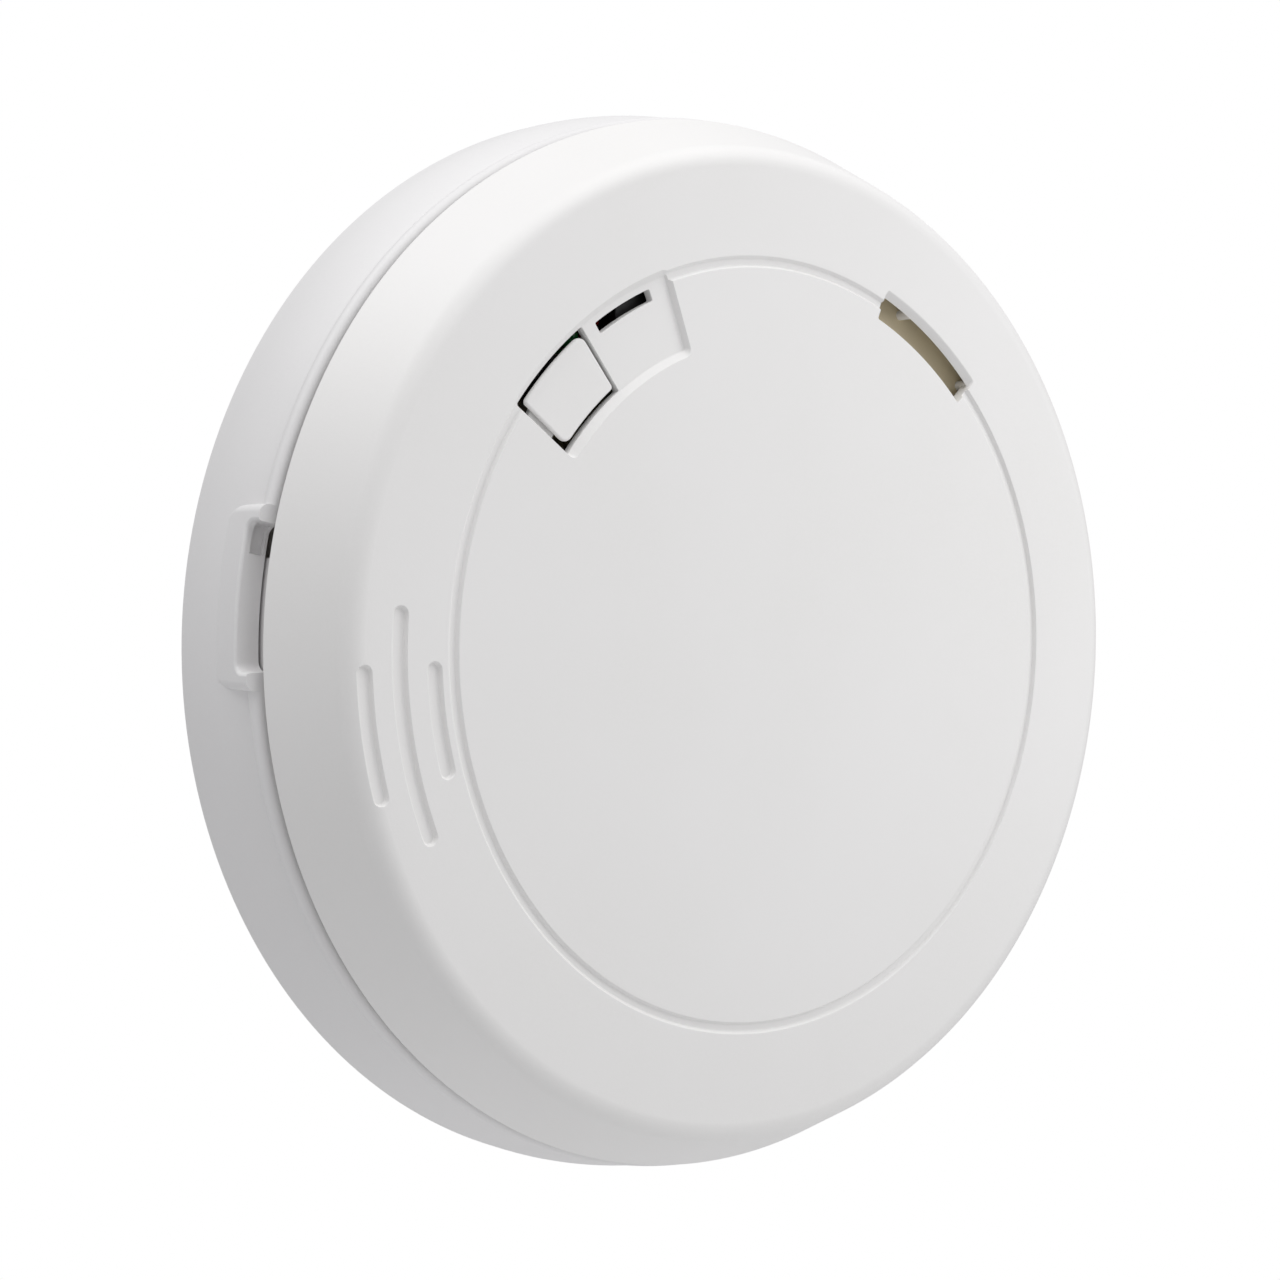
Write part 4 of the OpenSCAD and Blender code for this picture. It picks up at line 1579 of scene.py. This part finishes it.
    def _screw_holes(self) -> list[bpy.types.Object]:
        """Makes the cutters of the two screw slots and two round screw holes.

        Returns:
            The four cutters.
        """
        x, y, corner = self.slot_half, self.hole_r, self.hole_r - 0.01
        start = (0, -y, 0)
        corners = [(x, -y, corner), (x, y, corner), (-x, y, corner), (-x, -y, corner)]
        line = rounded([start, *corners, start])[:-1]
        low, high = -PAST, self.plate + PAST
        cutters = []
        for at in (-self.screw_spacing / 2, self.screw_spacing / 2):
            slot = loft("wall_slot", [at_height(line, z) for z in (low, high)])
            place(slot, 0, (at, 0, 0))
            hole = bar("wall_hole", self.hole_r, low, high, 0)
            # Turned by half a facet, so that no corner falls on a spoke of the plate
            place(hole, 180 / BAR_FACETS, (0, at, 0))
            cutters += [slot, hole]
        return cutters


@dataclass
class PowerSlider:
    """The grey power slider behind the side window, with its stem and finger.

    Attributes:
        span: First and last direction of its face.
        radii: Inner and outer radius of its face.
        heights: Height of the face's two edges.
        stem_a: Direction of the stem's middle.
        stem: Half angle, half height, inner and outer radius of the stem.
        plate: The same for the plate that keeps it in the housing.
        finger: The same for the finger that moves the switch.
        face_edge: Rounding of the face's edges.
        part_edge: Rounding of the other edges.
    """

    span: tuple[float, float] = (170.3, 184.0)
    radii: tuple[float, float] = (67.5, 68.9)
    heights: tuple[float, float] = (10.3, 15.0)
    stem_a: float = 177.05
    stem: tuple[float, float, float, float] = (2.2, 1.0, 63.9, 67.8)
    plate: tuple[float, float, float, float] = (3.8, 2.0, 63.9, 65.1)
    finger: tuple[float, float, float, float] = (0.7, 0.5, 60.4, 64.1)
    face_edge: float = 0.25
    part_edge: float = 0.12

    def build(self) -> bpy.types.Object:
        """Models the slider.

        Returns:
            The finished slider.
        """
        name, edge = "power_slider_face", self.face_edge
        slider = self._slab(name, self.radii, self.heights, self.span, edge)
        mid = sum(self.heights) / 2
        for half_a, half_h, r1, r2 in (self.stem, self.plate, self.finger):
            heights = (mid - half_h, mid + half_h)
            span = (self.stem_a - half_a, self.stem_a + half_a)
            part = self._slab("slider_part", (r1, r2), heights, span, self.part_edge)
            combine(slider, part, Mix.ADD)
        hang(slider)
        return slider

    def _slab(
        self,
        name: str,
        radii: tuple[float, float],
        heights: tuple[float, float],
        span: tuple[float, float],
        edge: float,
    ) -> bpy.types.Object:
        """Makes one curved slab with rounded edges.

        Args:
            name: The new object's name.
            radii: Inner and outer radius.
            heights: Height of its two flat sides.
            span: First and last direction.
            edge: Rounding of its edges.

        Returns:
            The slab.
        """
        (r1, r2), (z1, z2) = radii, heights
        slab = sector(name, [(r1, z1), (r2, z1), (r2, z2), (r1, z2)], *span)
        soften(slab, edge)
        return slab


# --------------------------------------------------------------------- stage


@dataclass
class Studio:
    """A plain pale floor, soft lights and the camera.

    Attributes:
        camera_at: Where the camera stands.
        azimuth: Direction that it stands in, in degrees from straight ahead.
        elevation: How far it looks down, in degrees.
        field: Its field of view, in degrees.
        floor_z: Height of the floor.
        floor_r: Radius of the floor.
        clip: Nearest and farthest distance that the camera sees, in metres.
        sky: Strength of the light from all round.
        lamps: Name, place, aim, side and power of each lamp.
    """

    camera_at: Point = (-220.1, -277.0, 9.7)
    azimuth: float = -38.41
    elevation: float = 1.54
    field: float = 28.79
    floor_z: float = -300.0
    floor_r: float = 550.0
    clip: tuple[float, float] = (0.01, 20.0)
    sky: float = 0.44
    lamps: tuple[tuple[str, Point, Point, float, float], ...] = (
        ("key_above", (60, -260, 420), (0, 0, 0), 420, 1.04),
        ("fill_right", (400, -300, 30), (40, 0, 0), 260, 0.57),
        ("rim_above_left", (-260, -10, 420), (-40, 0, 0), 300, 0.76),
    )

    def build(self) -> None:
        """Sets up the camera, the floor, the sky and the lights."""
        self._camera()
        self._floor()
        self._sky()
        for lamp in self.lamps:
            self._lamp(*lamp)

    def _camera(self) -> None:
        """Puts the camera where the alarm is seen from the left."""
        data = bpy.data.cameras.new("camera")
        data.sensor_fit = "HORIZONTAL"
        data.angle = math.radians(self.field)
        data.clip_start, data.clip_end = self.clip
        camera = bpy.data.objects.new("camera", data)
        bpy.context.scene.collection.objects.link(camera)
        a, e = math.radians(self.azimuth), math.radians(self.elevation)
        back = Vector((math.sin(a) * math.cos(e), -math.cos(a) * math.cos(e), math.sin(e)))
        camera.location = Vector(self.camera_at) * MM
        camera.rotation_mode = "QUATERNION"
        camera.rotation_quaternion = (-back).to_track_quat("-Z", "Y")
        bpy.context.scene.camera = camera

    def _floor(self) -> None:
        """Makes the pale floor, a disc well below the alarm."""
        bpy.ops.object.select_all(action="DESELECT")
        bpy.ops.mesh.primitive_circle_add(
            vertices=96,
            radius=self.floor_r * MM,
            fill_type="NGON",
            location=(0, 0, self.floor_z * MM),
        )
        floor = bpy.context.object
        floor.name = "floor"
        dress(floor, FLOOR_PALE)

    def _sky(self) -> None:
        """Lights the scene evenly from a soft sky that the camera sees as white."""
        world = bpy.data.worlds.new("studio_sky")
        world.use_nodes = True
        tree = world.node_tree
        tree.nodes.clear()
        seen = add_node(tree, "LightPath").outputs["Is Camera Ray"]
        light = add_node(
            tree, "Background", {"Color": linear("#fdfdff"), "Strength": self.sky}
        )
        white = add_node(tree, "Background", {"Color": (1, 1, 1, 1), "Strength": 1.0})
        both = add_node(
            tree,
            "MixShader",
            {"0": seen, "1": light.outputs[0], "2": white.outputs[0]},
        )
        add_node(tree, "OutputWorld", {"Surface": both.outputs[0]})
        scene = bpy.context.scene
        scene.world = world
        scene.view_settings.view_transform = "Standard"

    def _lamp(self, name: str, at: Point, to: Point, size: float, watts: float) -> None:
        """Adds one soft square lamp.

        Args:
            name: Its name.
            at: Where it stands.
            to: What it points at.
            size: Its side.
            watts: Its power.
        """
        data = bpy.data.lights.new(name, "AREA")
        data.size, data.energy = size * MM, watts
        lamp = bpy.data.objects.new(name, data)
        bpy.context.scene.collection.objects.link(lamp)
        lamp.location = Vector(at) * MM
        aim = Vector(to) - Vector(at)
        lamp.rotation_mode = "QUATERNION"
        lamp.rotation_quaternion = aim.to_track_quat("-Z", "Y")


def main() -> None:
    """Builds the studio and every piece in order."""
    logging.basicConfig(level=logging.INFO, format="%(name)s: %(message)s")
    Studio().build()
    for name, node in frame["nodes"].items():
        dress(node, NODE_FINISHES[name])
    LOG.info("dressed %d CAD nodes", len(frame["nodes"]))
    low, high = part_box("front_cover")
    radius, face = (high.x - low.x) / 2 / MM, -low.y / MM
    hinge = ButtonHinge()
    cover = FrontCover(face=face, radius=radius).build(hinge)
    deliver(cover, "front_cover_moulding", "alarm", "cover_abs", COVER_ABS, "front_cover")
    post_low = -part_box("tact_plunger")[0].y / MM + POST_GAP
    button = TestButton().build(hinge, post_low)
    deliver(button, "test_button_moulding", "button", "cover_abs", COVER_ABS, "test_button")
    low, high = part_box("mounting_bracket")
    bracket = WallBracket(radius=max(high.x, -low.x) / MM).build()
    deliver(
        bracket,
        "wall_bracket_moulding",
        "bracket",
        "bracket_abs",
        BRACKET_ABS,
        "mounting_bracket",
    )
    slider = PowerSlider().build()
    deliver(
        slider, "power_slider_moulding", "slider", "slider_abs", SLIDER_POM, "power_slider"
    )


if __name__ == "__main__":
    main()
